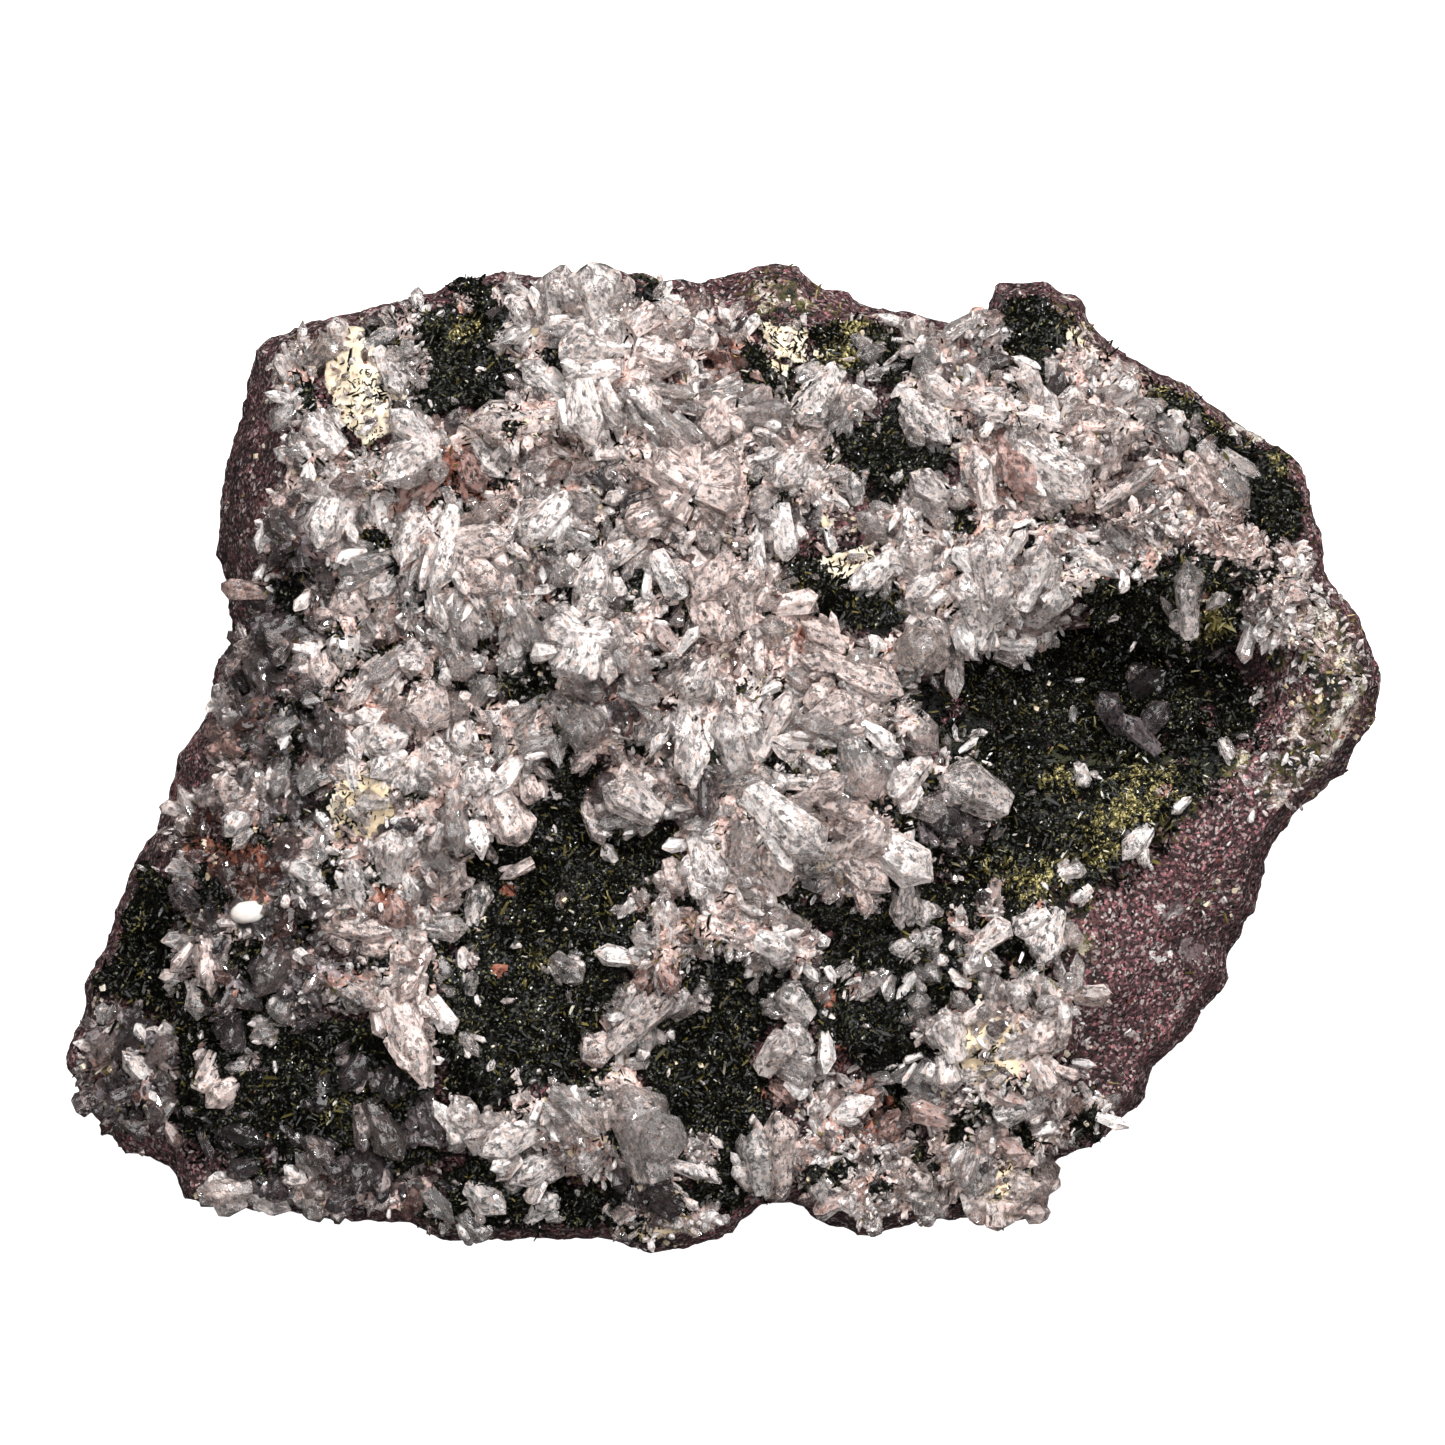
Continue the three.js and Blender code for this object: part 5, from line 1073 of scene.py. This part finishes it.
@cache
def templates():
    """The crystals that repeat, each modelled once; the large ones have worn edges."""
    edge = 0.02
    return {
        "sharp": quartz_template(0.27, 0.06, 0.03),
        "steep": quartz_template(0.34, -0.08, 0.22),
        "blunt": quartz_template(0.19, 0.1, 0.3),
        "large": quartz_template(0.26, 0.1, 0.14, edge),
        "large_blunt": quartz_template(0.19, -0.12, 0.3, edge),
        "large_steep": quartz_template(0.34, 0.06, 0.06, edge),
        "blade": blade_template(0.5),
        "grain": grain_template(),
    }


# Growing


def ways_from(normals, lean, random, towards=None):
    """Directions that lean that much from the surface's normals to random or given sides."""
    side_rise, most_lean, least_rise = 0.12, 0.97, 0.05
    turn = random.random(len(normals)) * 2 * math.pi
    sides = np.stack([np.cos(turn), np.sin(turn), np.full(len(turn), side_rise)], axis=1)
    if towards is not None:
        sides = sides + towards
    amount = np.clip(lean * between(random, 0.6, 1.4, len(normals)), 0, most_lean)[:, None]
    ways = unit(normals) * (1 - amount) + unit(sides) * amount
    ways[:, 2] = np.maximum(ways[:, 2], least_rise)
    return unit(ways)


def grow_quartz(growth, points, normals, length, slender, lean, seed, centre=None):
    """Quartz crystals on the points, shorter and longer than length, splayed from a centre if given."""
    count = len(points)
    if not count:
        return
    splay_reach, root, rusty_share, dim_share = 26 * MM, 0.35, 0.1, 0.06
    random = np.random.default_rng(seed)
    towards = None
    if centre is not None:
        towards = np.zeros((count, 3))
        towards[:, :2] = (points[:, :2] - centre) / splay_reach
    ways = ways_from(normals, lean, random, towards)
    lengths = length * between(random, 0.55, 1.5, count, 1.6)
    widths = lengths * slender * between(random, 0.75, 1.25, count)
    rust = spot_share("rust", points) * random.random(count)
    stains = np.clip(rust + 0.5 * (random.random(count) > 1 - rusty_share), 0, 0.8)
    tints = np.clip(0.4 * spot_share("pink", points) + between(random, -0.05, 0.45, count), 0, 0.75)
    # a few crystals anywhere take the smoky grey, and in the dim spots most do: painted shade there
    dim = random.random(count) < dim_share + 0.85 * spot_share("dim", points)
    tints = np.where(dim, between(random, 0.92, 1, count), tints)
    kinds = random.integers(0, 3, count)
    clears = np.where(dim, 0.9, random.random(count))
    feet = points - normals * widths[:, None] * root
    for number, shape in enumerate(("sharp", "steep", "blunt")):
        pick = kinds == number
        growth.add_copies(templates()[shape], feet[pick], ways[pick], lengths[pick], widths[pick],
                          SLOT_QUARTZ, tints[pick], stains[pick], seed + number, clears[pick])


def grow_blades(growth, points, normals, green, seed, size=1.0):
    """Epidote blades on the points; green is how yellow-green each is."""
    count = len(points)
    if not count:
        return
    lean, root, large_share = 0.78, 0.15 * MM, 0.06
    random = np.random.default_rng(seed)
    ways = ways_from(normals, lean, random)
    x, y = picture_places(points)
    stout = 1 + 0.5 * (random.random(count) < large_share)
    stout *= 0.65 + 0.8 * lattice_noise(x, y, *STOUT_PATCHES)
    lengths = sizes().blade_length * size * stout * between(random, 0.5, 1.5, count)
    widths = sizes().blade_width * size * stout * between(random, 0.6, 1.4, count)
    # in zones a share of the blades glint: glossier, and tinted pale up to near-white as painted glints
    zones = 0.6 * lattice_noise(x, y, *GLINT_ZONES) + 0.4 * lattice_noise(x, y, *GLINT_PATCHES)
    glint_share = np.clip(0.6 * zones - 0.26, 0.01, 0.1) + 0.2 * spot_share("green", points)
    glinting = random.random(count) < glint_share
    tints = np.where(glinting, between(random, 0.6, 1, count), between(random, 0, 0.5, count))
    growth.add_copies(templates()["blade"], points - normals * root, ways, lengths, widths,
                      SLOT_EPIDOTE, tints, green, seed)


def grow_grains(growth, points, normals, slot, seed, size=1.0):
    """Rough grains of feldspar or clay on the points."""
    count = len(points)
    if not count:
        return
    lean, root = 0.5, 0.1 * MM
    random = np.random.default_rng(seed)
    ways = ways_from(normals, lean, random)
    widths = sizes().grain_size * size * between(random, 0.5, 2.1, count, 3)
    growth.add_copies(templates()["grain"], points - normals * root, ways, widths, widths, slot,
                      random.random(count), 0, seed)


def pick_kinds(weights, random):
    """Picks one kind for each point from arrays of weights."""
    names = list(weights)
    stack = np.cumsum(np.stack([weights[name] for name in names]), axis=0)
    chance = random.random(stack.shape[1]) * stack[-1]
    chosen = (chance[None] > stack).sum(axis=0)
    return {name: chosen == number for number, name in enumerate(names)}


def open_share(points):
    """How open the quartz is at each point: 1 in the gaps between its clumps, where epidote shows."""
    x, y = picture_places(points)
    clumps = 0.65 * lattice_noise(x, y, *CLUMPS) + 0.35 * lattice_noise(x, y, *SMALL_CLUMPS)
    gap_level, edge = 0.42, 0.1
    return np.clip((gap_level - clumps) / edge, 0, 1)


def near_picture_crystals(points, reach):
    """Whether each point is under one of the picture's crystals, with reach as a share of its width."""
    x, y = picture_places(points)
    near = np.zeros(len(points), dtype=bool)
    told = [crystal for crystals in PICTURE_CRYSTALS.values() for crystal in crystals]
    told += [crystal[:5] for group in (CLUSTER_CRYSTALS, LONE_CRYSTALS)
             for crystals in group.values() for crystal in crystals]
    for foot_x, foot_y, tip_x, tip_y, width in told:
        run_x, run_y = tip_x - foot_x, tip_y - foot_y
        share = ((x - foot_x) * run_x + (y - foot_y) * run_y) / (run_x**2 + run_y**2)
        share = np.clip(share, 0.1, 0.9)
        near |= np.hypot(x - foot_x - share * run_x, y - foot_y - share * run_y) < reach * width
    return near


def quartz_chance(points, share):
    """How likely a quartz crystal is at each point."""
    dark = spot_share("dark", points)
    pale = spot_share("pale", points)
    return np.clip(share * (1 - dark) * (1 - 0.9 * open_share(points)) + 0.6 * pale, 0, 1)


def grow_druse(growth, surface, host, seed, centre=None):
    """Covers a surface with what grows on it: larger quartz first, then the fine druse."""
    random = np.random.default_rng(seed)
    kept = sizes()
    share = {"quartz": 1.0, "epidote": 0.02, "feldspar": 0.12}[host]
    # spacing, length, slenderness, lean, how much fine druse keeps it away, and the room it leaves
    for number, (spacing, length, slender, lean, kept_off, room) in enumerate((
            (kept.point_spacing, kept.point_length, 0.5, 0.85, 1, 0.62),
            (kept.druse_spacing, kept.druse_length, 0.55, 0.8, 0.5, 0.4))):
        points, normals = spread_over(surface, spacing, seed + 2 * number)
        chance = quartz_chance(points, share) * (1 - kept_off * spot_share("fine", points))
        pick = (random.random(len(points)) < chance) & ~near_picture_crystals(points, room)
        grow_quartz(growth, points[pick], normals[pick], length, slender, lean, seed + 2 * number + 1,
                    centre)
    points, normals = spread_over(surface, kept.blade_spacing, seed + 4)
    grow_fine(growth, points, normals, host, seed + 5)


# what grows in the fine druse on each host, by weight
FINE_KINDS = ("blade", "green", "quartz", "cream", "clay", "none")
FINE_WEIGHTS = {
    "quartz": (0.3, 0.07, 0.14, 0.03, 0.006, 1.0),
    "epidote": (1.0, 0.04, 0.004, 0.003, 0.002, 0.3),
    "feldspar": (0.01, 0.02, 0.08, 0.03, 0.02, 1.0),
    "rock": (0.0, 0.006, 0.008, 0.006, 0.002, 1.0),
}


def grow_fine(growth, points, normals, host, seed):
    """The fine druse: epidote blades, tiny quartz, and grains of feldspar and clay, by place."""
    tiny_length, rimmed_share = 1.35 * MM, 0.03
    random = np.random.default_rng(seed)
    weights = {name: np.full(len(points), value) for name, value in zip(FINE_KINDS, FINE_WEIGHTS[host])}
    dark = spot_share("dark", points)
    if host != "rock":
        dark = np.maximum(dark, open_share(points))
    weights["blade"] += 4 * dark
    # the blades stand in tufts, with black gaps between them
    x, y = picture_places(points)
    gaps = np.clip((0.46 - lattice_noise(x, y, *TUFTS)) / 0.08, 0, 1)
    weights["blade"] *= 1 - 0.85 * gaps
    weights["none"] += 1.5 * gaps * (weights["blade"] > 0.4)
    weights["none"] *= 1 - dark * 0.9
    weights["green"] += (0.3 if host == "rock" else 0.22) * spot_share("green", points)
    weights["cream"] += 0.14 * spot_share("cream", points)
    mottled = spot_share("mottled", points)
    blotches = lattice_noise(x, y, *BLOTCHES)
    for kind, more in (("blade", 0.5 * (blotches < 0.42)), ("green", 0.35 * (blotches < 0.5)),
                       ("cream", 0.07 * (blotches > 0.52)), ("quartz", 0.12 * (blotches > 0.45))):
        weights[kind] += more * mottled
    weights["clay"] += 0.5 * spot_share("rust", points)
    weights["quartz"] += 0.8 * spot_share("pale", points)
    weights["quartz"] += {"quartz": 0.8, "rock": 0.25}.get(host, 0.1) * spot_share("fine", points)
    weights["none"] += 6 * spot_share("bare", points)
    chosen = pick_kinds(weights, random)
    points, normals = (
        {name: values[pick] for name, pick in chosen.items()} for values in (points, normals))
    rims = 0.7 * (random.random(len(points["blade"])) < rimmed_share)
    grow_blades(growth, points["blade"], normals["blade"], rims, seed + 1)
    rims = between(random, 0.4, 1, len(points["green"]))
    grow_blades(growth, points["green"], normals["green"], rims, seed + 2, 0.9)
    grow_quartz(growth, points["quartz"], normals["quartz"], tiny_length, 0.42, 0.6, seed + 3)
    grow_grains(growth, points["cream"], normals["cream"], SLOT_CREAM, seed + 6)
    grow_grains(growth, points["clay"], normals["clay"], SLOT_CLAY, seed + 7, 0.7)


@cache
def node_tree(name):
    """A search tree of a CAD node's mesh."""
    corners, triangles = read_triangles(frame["nodes"][name].data)
    return BVHTree.FromPolygons(corners.tolist(), triangles.tolist())


def ground_at(place, node="host_rock"):
    """Height of a node's upper side at a place, or below zero beside it."""
    hit = node_tree(node).ray_cast(Vector((place[0], place[1], SKY)), DOWN)[0]
    return hit.z if hit else -1.0


def on_upper_side(points):
    """How far each point is on the rock's upper side: 1 there, 0 on the flanks and beneath."""
    flank_rise, fade, lump, lump_seed = 0.35, 0.2, 3 * MM, 16
    rises = np.array([node_tree("host_rock").find_nearest(Vector(point))[1].z for point in points])
    x, y, z = points.T
    ragged = lattice_noise(x + z, y - z, lump, lump_seed)
    return np.clip((rises + 0.4 * ragged - flank_rise) / fade, 0, 1)


def node_under(place):
    """The topmost CAD node under a place, and its height there."""
    best, height = None, ground_at(place)
    for name in frame["nodes"]:
        if kind_of(name) in CRUST_KINDS and ground_at(place, name) > height:
            best, height = name, ground_at(place, name)
    return best, height


def picture_crystals(growth, crystals, seed, dim=False):
    """The crystals that the picture shows one by one, as the solids have them."""
    if not crystals:
        return
    random = np.random.default_rng(seed)
    feet, tips, widths = [], [], []
    for foot_x, foot_y, tip_x, tip_y, width_px, rise in crystals:
        foot, tip = np.array(at(foot_x, foot_y)), np.array(at(tip_x, tip_y))
        ground = max(ground_at(foot), ground_at(foot * 0.6 + tip * 0.4))
        top = np.array([*tip, max(ground, ground_at(tip)) + rise * MM])
        start = np.array([*foot, ground + CRUST_BODY])
        back = (start - top) / np.linalg.norm(start - top)
        feet.append(start + back * CRYSTAL_ROOT)
        tips.append(top)
        widths.append(width_px * METRES_PER_PX / ACROSS_SIDES)
    feet, tips = np.array(feet), np.array(tips)
    ways = tips - feet
    lengths = np.linalg.norm(ways, axis=1)
    for i, width in enumerate(widths):
        # dim crystals, those in the hollow, take the smoky grey tint as painted shade
        tint = 1.0 if dim else between(random, 0.1, 0.5, 1)
        growth.add_copies(templates()["large"], feet[i:i + 1], ways[i:i + 1], lengths[i:i + 1], width,
                          SLOT_QUARTZ, tint, 0, seed + i, between(random, 0.2, 0.8, 1))


def grow_picture_crystals(growth, owner, seed):
    """The crystals of the picture whose foot is on this node; None stands for the bare rock."""
    count = 5
    sides_in_turn = np.where(np.arange(count) % 2, 1, -1)[:, None]
    random = np.random.default_rng(seed)
    large = [templates()[name] for name in ("large", "large_blunt", "large_steep")]
    for look, crystals in PICTURE_CRYSTALS.items():
        clear, tint, stain = LOOKS[look]
        for foot_x, foot_y, tip_x, tip_y, width_px in crystals:
            foot, tip = np.array(at(foot_x, foot_y)), np.array(at(tip_x, tip_y))
            node, height = node_under(foot)
            if node in LONE_CRYSTALS:
                node, height = None, ground_at(foot) + CRUST_BODY
            if node != owner or height < 0:
                continue
            width = width_px * METRES_PER_PX / ACROSS_SIDES
            ground = max(node_under(tip)[1], node_under(tip * 0.6 + foot * 0.4)[1], height - 4 * MM)
            start = np.array([*foot, height - 0.1 * width])
            top = np.array([*tip, min(ground + 0.42 * width + 0.6 * MM, CAD_BOX[1][2])])
            way = top - start
            start = start - way * 0.12
            way = top - start
            growth.add_copies(
                large[random.integers(0, 3)], start[None], way[None], np.array([np.linalg.norm(way)]),
                width, SLOT_QUARTZ, tint + between(random, -0.1, 0.1, 1), stain,
                int(random.integers(0, 1e6)), clear - 0.15)
            # smaller crystals grow along its sides, nearly parallel to it
            side = unit(np.cross(way, (0, 0, 1.0))[None])[0] * sides_in_turn
            out = side * width * between(random, 0.3, 0.55, (count, 1))
            feet = start + way * 0.55 * random.random((count, 1)) + out - (0, 0, 0.12 * width)
            ways = unit(way + np.linalg.norm(way) * (0.9 * (random.random((count, 3)) - 0.5)
                                                     + (0, 0, 0.1)) + out * 0.8)
            growth.add_copies(
                large[random.integers(0, 3)], feet, ways,
                np.linalg.norm(way) * between(random, 0.28, 0.63, count),
                width * between(random, 0.28, 0.58, count), SLOT_QUARTZ,
                tint + between(random, -0.15, 0.15, count), stain,
                int(random.integers(0, 1e6)), random.random(count))


CRUST_KINDS = ("epidote", "quartz", "feldspar")
# roughness of a surface in layers: the noise, the size of its lumps and its height
CRUST_LAYERS = (
    ("BLENDER_ORIGINAL", 4.5 * MM, 1.6 * MM), ("BLENDER_ORIGINAL", 1.6 * MM, 0.8 * MM),
    ("VORONOI_F1", 0.9 * MM, 0.5 * MM))
EPIDOTE_LAYERS = (
    ("BLENDER_ORIGINAL", 5.5 * MM, 3.6 * MM), ("BLENDER_ORIGINAL", 2.2 * MM, 1.8 * MM),
    ("VORONOI_F1", 1.0 * MM, 0.7 * MM))
ROCK_LAYERS = (
    ("VORONOI_F2_F1", 7 * MM, 1.6 * MM), ("BLENDER_ORIGINAL", 2.4 * MM, 1.0 * MM),
    ("VORONOI_F1", 1.1 * MM, 0.5 * MM))


CRUST_DETAIL = 0.62 * MM


def kind_of(node):
    """What a node is made of, from the first word of its name."""
    return node.split("_")[0]


def grow_on_node(node, seed):
    """The piece that stands for a crust node: its fine crust with all that grows on it."""
    kind = kind_of(node)
    layers = EPIDOTE_LAYERS if kind == "epidote" else CRUST_LAYERS
    surface = crust_of(node, CRUST_DETAIL, layers, smoothing=2)
    growth = Growth()
    corners = surface[0]
    random = np.random.default_rng(seed)
    slot = {"epidote": SLOT_CRUST_DARK, "quartz": SLOT_CRUST_PALE, "feldspar": SLOT_CREAM}[kind]
    middles = corners[surface[1]].mean(axis=1)
    dark = np.maximum(spot_share("dark", middles), open_share(middles) if kind == "quartz" else 0)
    slots = np.where(dark > 0.45, SLOT_CRUST_DARK, slot)
    ragged = 0.5 + lattice_noise(*picture_places(middles), *MINERAL_EDGES)
    patches = (("pale", 0.5, SLOT_CRUST_PALE), ("cream", 0.5, SLOT_CREAM), ("rust", 0.62, SLOT_CLAY))
    for name, least, patch_slot in patches:
        if name != "pale" or kind == "epidote":
            slots = np.where(spot_share(name, middles) * ragged > least, patch_slot, slots)
    stains = (spot_share("green", corners) if kind == "epidote"
              else 0.6 * spot_share("rust", corners))
    # the quartz crust's tint is its share of the dim spots, where it is painted grey as painted shade
    tints = random.random(len(corners)) if kind != "quartz" else spot_share("dim", corners)
    growth.add_surface(surface, slots, tints, stains)
    low, high = (np.array(corner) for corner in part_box(node))
    centre = (low + high)[:2] / 2 if kind == "quartz" else None
    grow_druse(growth, surface, kind, seed, centre)
    picture_crystals(growth, CLUSTER_CRYSTALS.get(node, ()), seed + 60)
    grow_picture_crystals(growth, node, seed + 70)
    return growth.piece(f"{node}_druse", node, kind)


def crust_nodes(kind):
    """The crust nodes of a kind, without the crystals that stand alone."""
    return [name for name in sorted(frame["nodes"])
            if kind_of(name) == kind and name not in LONE_CRYSTALS]


class RockOperator(bpy.types.Operator):
    """The broken volcanic rock, with the fine growth on its bare faces and in the seams of the crusts"""

    bl_idname = "crystals.host_rock"
    bl_label = "Host rock"

    def execute(self, context):
        """Models and finishes the rock."""
        surface = corners, triangles = crust_of("host_rock", sizes().rock_detail, ROCK_LAYERS)
        mesh = bpy.data.meshes.new("broken_rock")
        mesh.from_pydata(corners.tolist(), [], triangles.tolist())
        mesh.polygons.foreach_set("use_smooth", np.ones(len(triangles), dtype=bool))
        upper = on_upper_side(corners)
        for name, _, _ in ROCK_MINERALS:
            layer = mesh.attributes.new(name, "FLOAT", "POINT")
            share = spot_share(name, corners, ROCK_SEED) * upper
            layer.data.foreach_set("value", share.astype(np.float32))
        mesh.materials.append(rock_material())
        piece = bpy.data.objects.new("broken_rock", mesh)
        context.collection.objects.link(piece)
        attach(piece, "root")
        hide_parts("host_rock")
        self.grow_on_rock(surface)
        return {"FINISHED"}

    def grow_on_rock(self, surface):
        """Fine growth where the rock shows: by place on its bare faces, and by neighbour in the seams."""
        trees = {}
        for kind in CRUST_KINDS:
            corners, triangles, count = [], [], 0
            for node in crust_nodes(kind):
                more, faces = read_triangles(frame["nodes"][node].data)
                corners += more.tolist()
                triangles += (faces + count).tolist()
                count += len(more)
            trees[kind] = BVHTree.FromPolygons(corners, triangles)
        up, below, cover, seam_width = -DOWN, 0.4 * MM, 20 * MM, 2.6 * MM
        points, normals = spread_over(surface, sizes().blade_spacing * 1.1, 71, 0.5)
        nearest = np.full(len(points), 1.0)
        owner = np.full(len(points), "rock", dtype=object)
        covered = np.zeros(len(points), dtype=bool)
        for i, point in enumerate(points):
            place = Vector(point)
            for kind in CRUST_KINDS:
                if trees[kind].ray_cast(place - up * below, up, cover)[0] is not None:
                    covered[i] = True
                    break
                distance = trees[kind].find_nearest(place, seam_width)[3]
                if distance is not None and distance < nearest[i]:
                    nearest[i] = distance
                    owner[i] = kind
        growth = Growth()
        for number, host in enumerate((*CRUST_KINDS, "rock")):
            pick = (owner == host) & ~covered
            grow_fine(growth, points[pick], normals[pick], host, 300 + 20 * number)
            if host == "quartz":
                wide = pick & (np.random.default_rng(9).random(len(points)) < 0.12)
                grow_quartz(growth, points[wide], normals[wide], sizes().druse_length, 0.4, 0.7, 77)
        grow_picture_crystals(growth, None, 90)
        growth.piece("rock_growth", None, "epidote")


class CrustGrower:
    """Grows every crust of one kind, each from its own seed."""

    kind, first_seed = "", 0

    def execute(self, context):
        """Grows each crust."""
        for number, node in enumerate(crust_nodes(self.kind)):
            grow_on_node(node, self.first_seed + 40 * number)
        return {"FINISHED"}


class EpidoteOperator(CrustGrower, bpy.types.Operator):
    """The dark green epidote druses, each a crust covered with blades"""

    bl_idname = "crystals.epidote"
    bl_label = "Epidote druses"
    kind, first_seed = "epidote", 1000


class QuartzOperator(CrustGrower, bpy.types.Operator):
    """The quartz clusters, each a milky crust with its crystals"""

    bl_idname = "crystals.quartz"
    bl_label = "Quartz clusters"
    kind, first_seed = "quartz", 3000


class FeldsparOperator(CrustGrower, bpy.types.Operator):
    """The cream feldspar patches"""

    bl_idname = "crystals.feldspar"
    bl_label = "Feldspar patches"
    kind, first_seed = "feldspar", 5000


class LoneQuartzOperator(bpy.types.Operator):
    """The quartz crystals that stand alone"""

    bl_idname = "crystals.lone_quartz"
    bl_label = "Lone quartz crystals"

    def execute(self, context):
        """Models each crystal in the place of its solid."""
        for number, (node, crystals) in enumerate(LONE_CRYSTALS.items()):
            growth = Growth()
            # the crystals of the hollow are dim: painted grey as painted shade
            picture_crystals(growth, crystals, 6000 + 10 * number, node == "quartz_hollow")
            growth.piece(f"{node}_grown", node, "quartz")
        return {"FINISHED"}


class BeadOperator(bpy.types.Operator):
    """The odd waxy bead on the left"""

    bl_idname = "crystals.waxy_bead"
    bl_label = "Waxy bead"

    def execute(self, context):
        """Models the bead as a dented oval."""
        low, high = (Vector(corner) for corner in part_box("waxy_bead"))
        bpy.ops.object.select_all(action="DESELECT")
        bpy.ops.mesh.primitive_ico_sphere_add(subdivisions=4, radius=0.5, location=(low + high) / 2)
        piece = context.object
        piece.name = piece.data.name = "waxy_bead_worn"
        piece.scale = (4.6 * MM, 2.9 * MM, 2.9 * MM)
        piece.rotation_euler.z = 0.15
        bpy.ops.object.transform_apply(location=True, rotation=True, scale=True)
        texture = bpy.data.textures.new("bead_dents", "CLOUDS")
        texture.noise_scale = 1.6 * MM
        dents = piece.modifiers.new("dents", "DISPLACE")
        dents.texture = texture
        dents.strength = 0.35 * MM
        bpy.ops.object.modifier_apply(modifier="dents")
        bpy.ops.object.shade_smooth()
        piece.data.materials.append(bead_material())
        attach(piece, "root")
        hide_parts("waxy_bead")
        return {"FINISHED"}


# each light with its place in metres, its width and its power in watts
LIGHTS = (
    ("key_light", (0.25, 0.6, 0.95), 0.2, 9.5), ("top_softbox", (-0.1, 0.12, 1.3), 0.9, 10.5),
    ("back_softbox", (0.0, 0.95, 0.9), 1.0, 14.0), ("right_softbox", (0.95, 0.05, 0.85), 0.6, 5.0),
    ("left_softbox", (-0.95, 0.15, 0.9), 0.6, 2.3), ("front_softbox", (0.1, -0.95, 0.95), 0.6, 3.0),
)


class StageOperator(bpy.types.Operator):
    """The pale floor, the soft studio light and the camera over the specimen"""

    bl_idname = "crystals.stage"
    bl_label = "Stage"

    def execute(self, context):
        """Sets the stage."""
        bpy.ops.object.select_all(action="DESELECT")
        bpy.ops.mesh.primitive_plane_add(size=6, location=(0, 0, -0.0002))
        floor = context.object
        floor.name = floor.data.name = "pale_floor"
        floor.data.materials.append(new_material("matt_white_paper", Base_Color=(0.6, 0.6, 0.6, 1),
                                                 Roughness=0.9, Emission_Strength=0.86,
                                                 Emission_Color=(1, 1, 1, 1))[0])
        # the paper is cut out round the specimen in the picture and throws no light back on its sides
        floor.visible_diffuse = floor.visible_glossy = False
        world = bpy.data.worlds.new("soft_room")
        context.scene.world = world
        world.use_nodes = True
        background = world.node_tree.nodes["Background"]
        background.inputs["Color"].default_value = (1, 1, 1, 1)
        background.inputs["Strength"].default_value = 0.05
        for light in LIGHTS:
            self.light(context, *light)
        self.camera(context)
        context.scene.view_settings.view_transform = "Standard"
        cycles = context.scene.cycles
        cycles.use_denoising = True
        cycles.sample_clamp_indirect = 5.0
        cycles.max_bounces, cycles.diffuse_bounces, cycles.transmission_bounces = 5, 2, 4
        return {"FINISHED"}

    def light(self, context, name, place, size, power):
        """A soft square light that faces the specimen."""
        lamp = bpy.data.lights.new(name, "AREA")
        lamp.size = size
        lamp.energy = power
        holder = bpy.data.objects.new(name, lamp)
        holder.location = place
        aim = Vector((0, 0, 0.03)) - Vector(place)
        holder.rotation_euler = aim.to_track_quat("-Z", "Y").to_euler()
        context.collection.objects.link(holder)

    def camera(self, context):
        """Straight above, framed so that the specimen covers the picture as it does in the photograph."""
        height, focus, sensor = 2.0, 0.034, 36
        across = PICTURE_SIZE_PX * METRES_PER_PX
        x, y = at(PICTURE_SIZE_PX / 2, PICTURE_SIZE_PX / 2)
        lens = bpy.data.cameras.new("camera")
        lens.sensor_width = sensor
        lens.lens = sensor * (height - focus) / across
        holder = bpy.data.objects.new("camera", lens)
        holder.location = (x, y, height)
        context.collection.objects.link(holder)
        context.scene.camera = holder


OPERATORS = (StageOperator, RockOperator, EpidoteOperator, QuartzOperator, FeldsparOperator,
             LoneQuartzOperator, BeadOperator)


class CrystalPanel(bpy.types.Panel):
    """Lists the sizes, the colours and the steps that make the specimen"""

    bl_idname = "VIEW3D_PT_crystals"
    bl_label = "Epidote crystal cluster"
    bl_space_type = "VIEW_3D"
    bl_region_type = "UI"
    bl_category = "Crystals"

    def draw(self, context):
        """Draws the panel."""
        for group in (sizes(), colours()):
            box = self.layout.box()
            for key in group.bl_rna.properties.keys():
                if key not in ("name", "rna_type"):
                    box.prop(group, key)
        for step in OPERATORS:
            self.layout.operator(step.bl_idname)


CLASSES = (CrystalSizes, CrystalColours, *OPERATORS, CrystalPanel)


def register():
    """Registers the classes and the values on the scene."""
    for item in CLASSES:
        bpy.utils.register_class(item)
    bpy.types.Scene.crystal_sizes = PointerProperty(type=CrystalSizes)
    bpy.types.Scene.crystal_colours = PointerProperty(type=CrystalColours)


def unregister():
    """Takes the classes and values away again."""
    del bpy.types.Scene.crystal_sizes
    del bpy.types.Scene.crystal_colours
    for item in reversed(CLASSES):
        bpy.utils.unregister_class(item)


def main():
    """Makes the specimen step by step."""
    register()
    bpy.ops.crystals.stage()
    bpy.ops.crystals.host_rock()
    bpy.ops.crystals.epidote()
    bpy.ops.crystals.quartz()
    bpy.ops.crystals.feldspar()
    bpy.ops.crystals.lone_quartz()
    bpy.ops.crystals.waxy_bead()


if __name__ == "__main__":
    main()
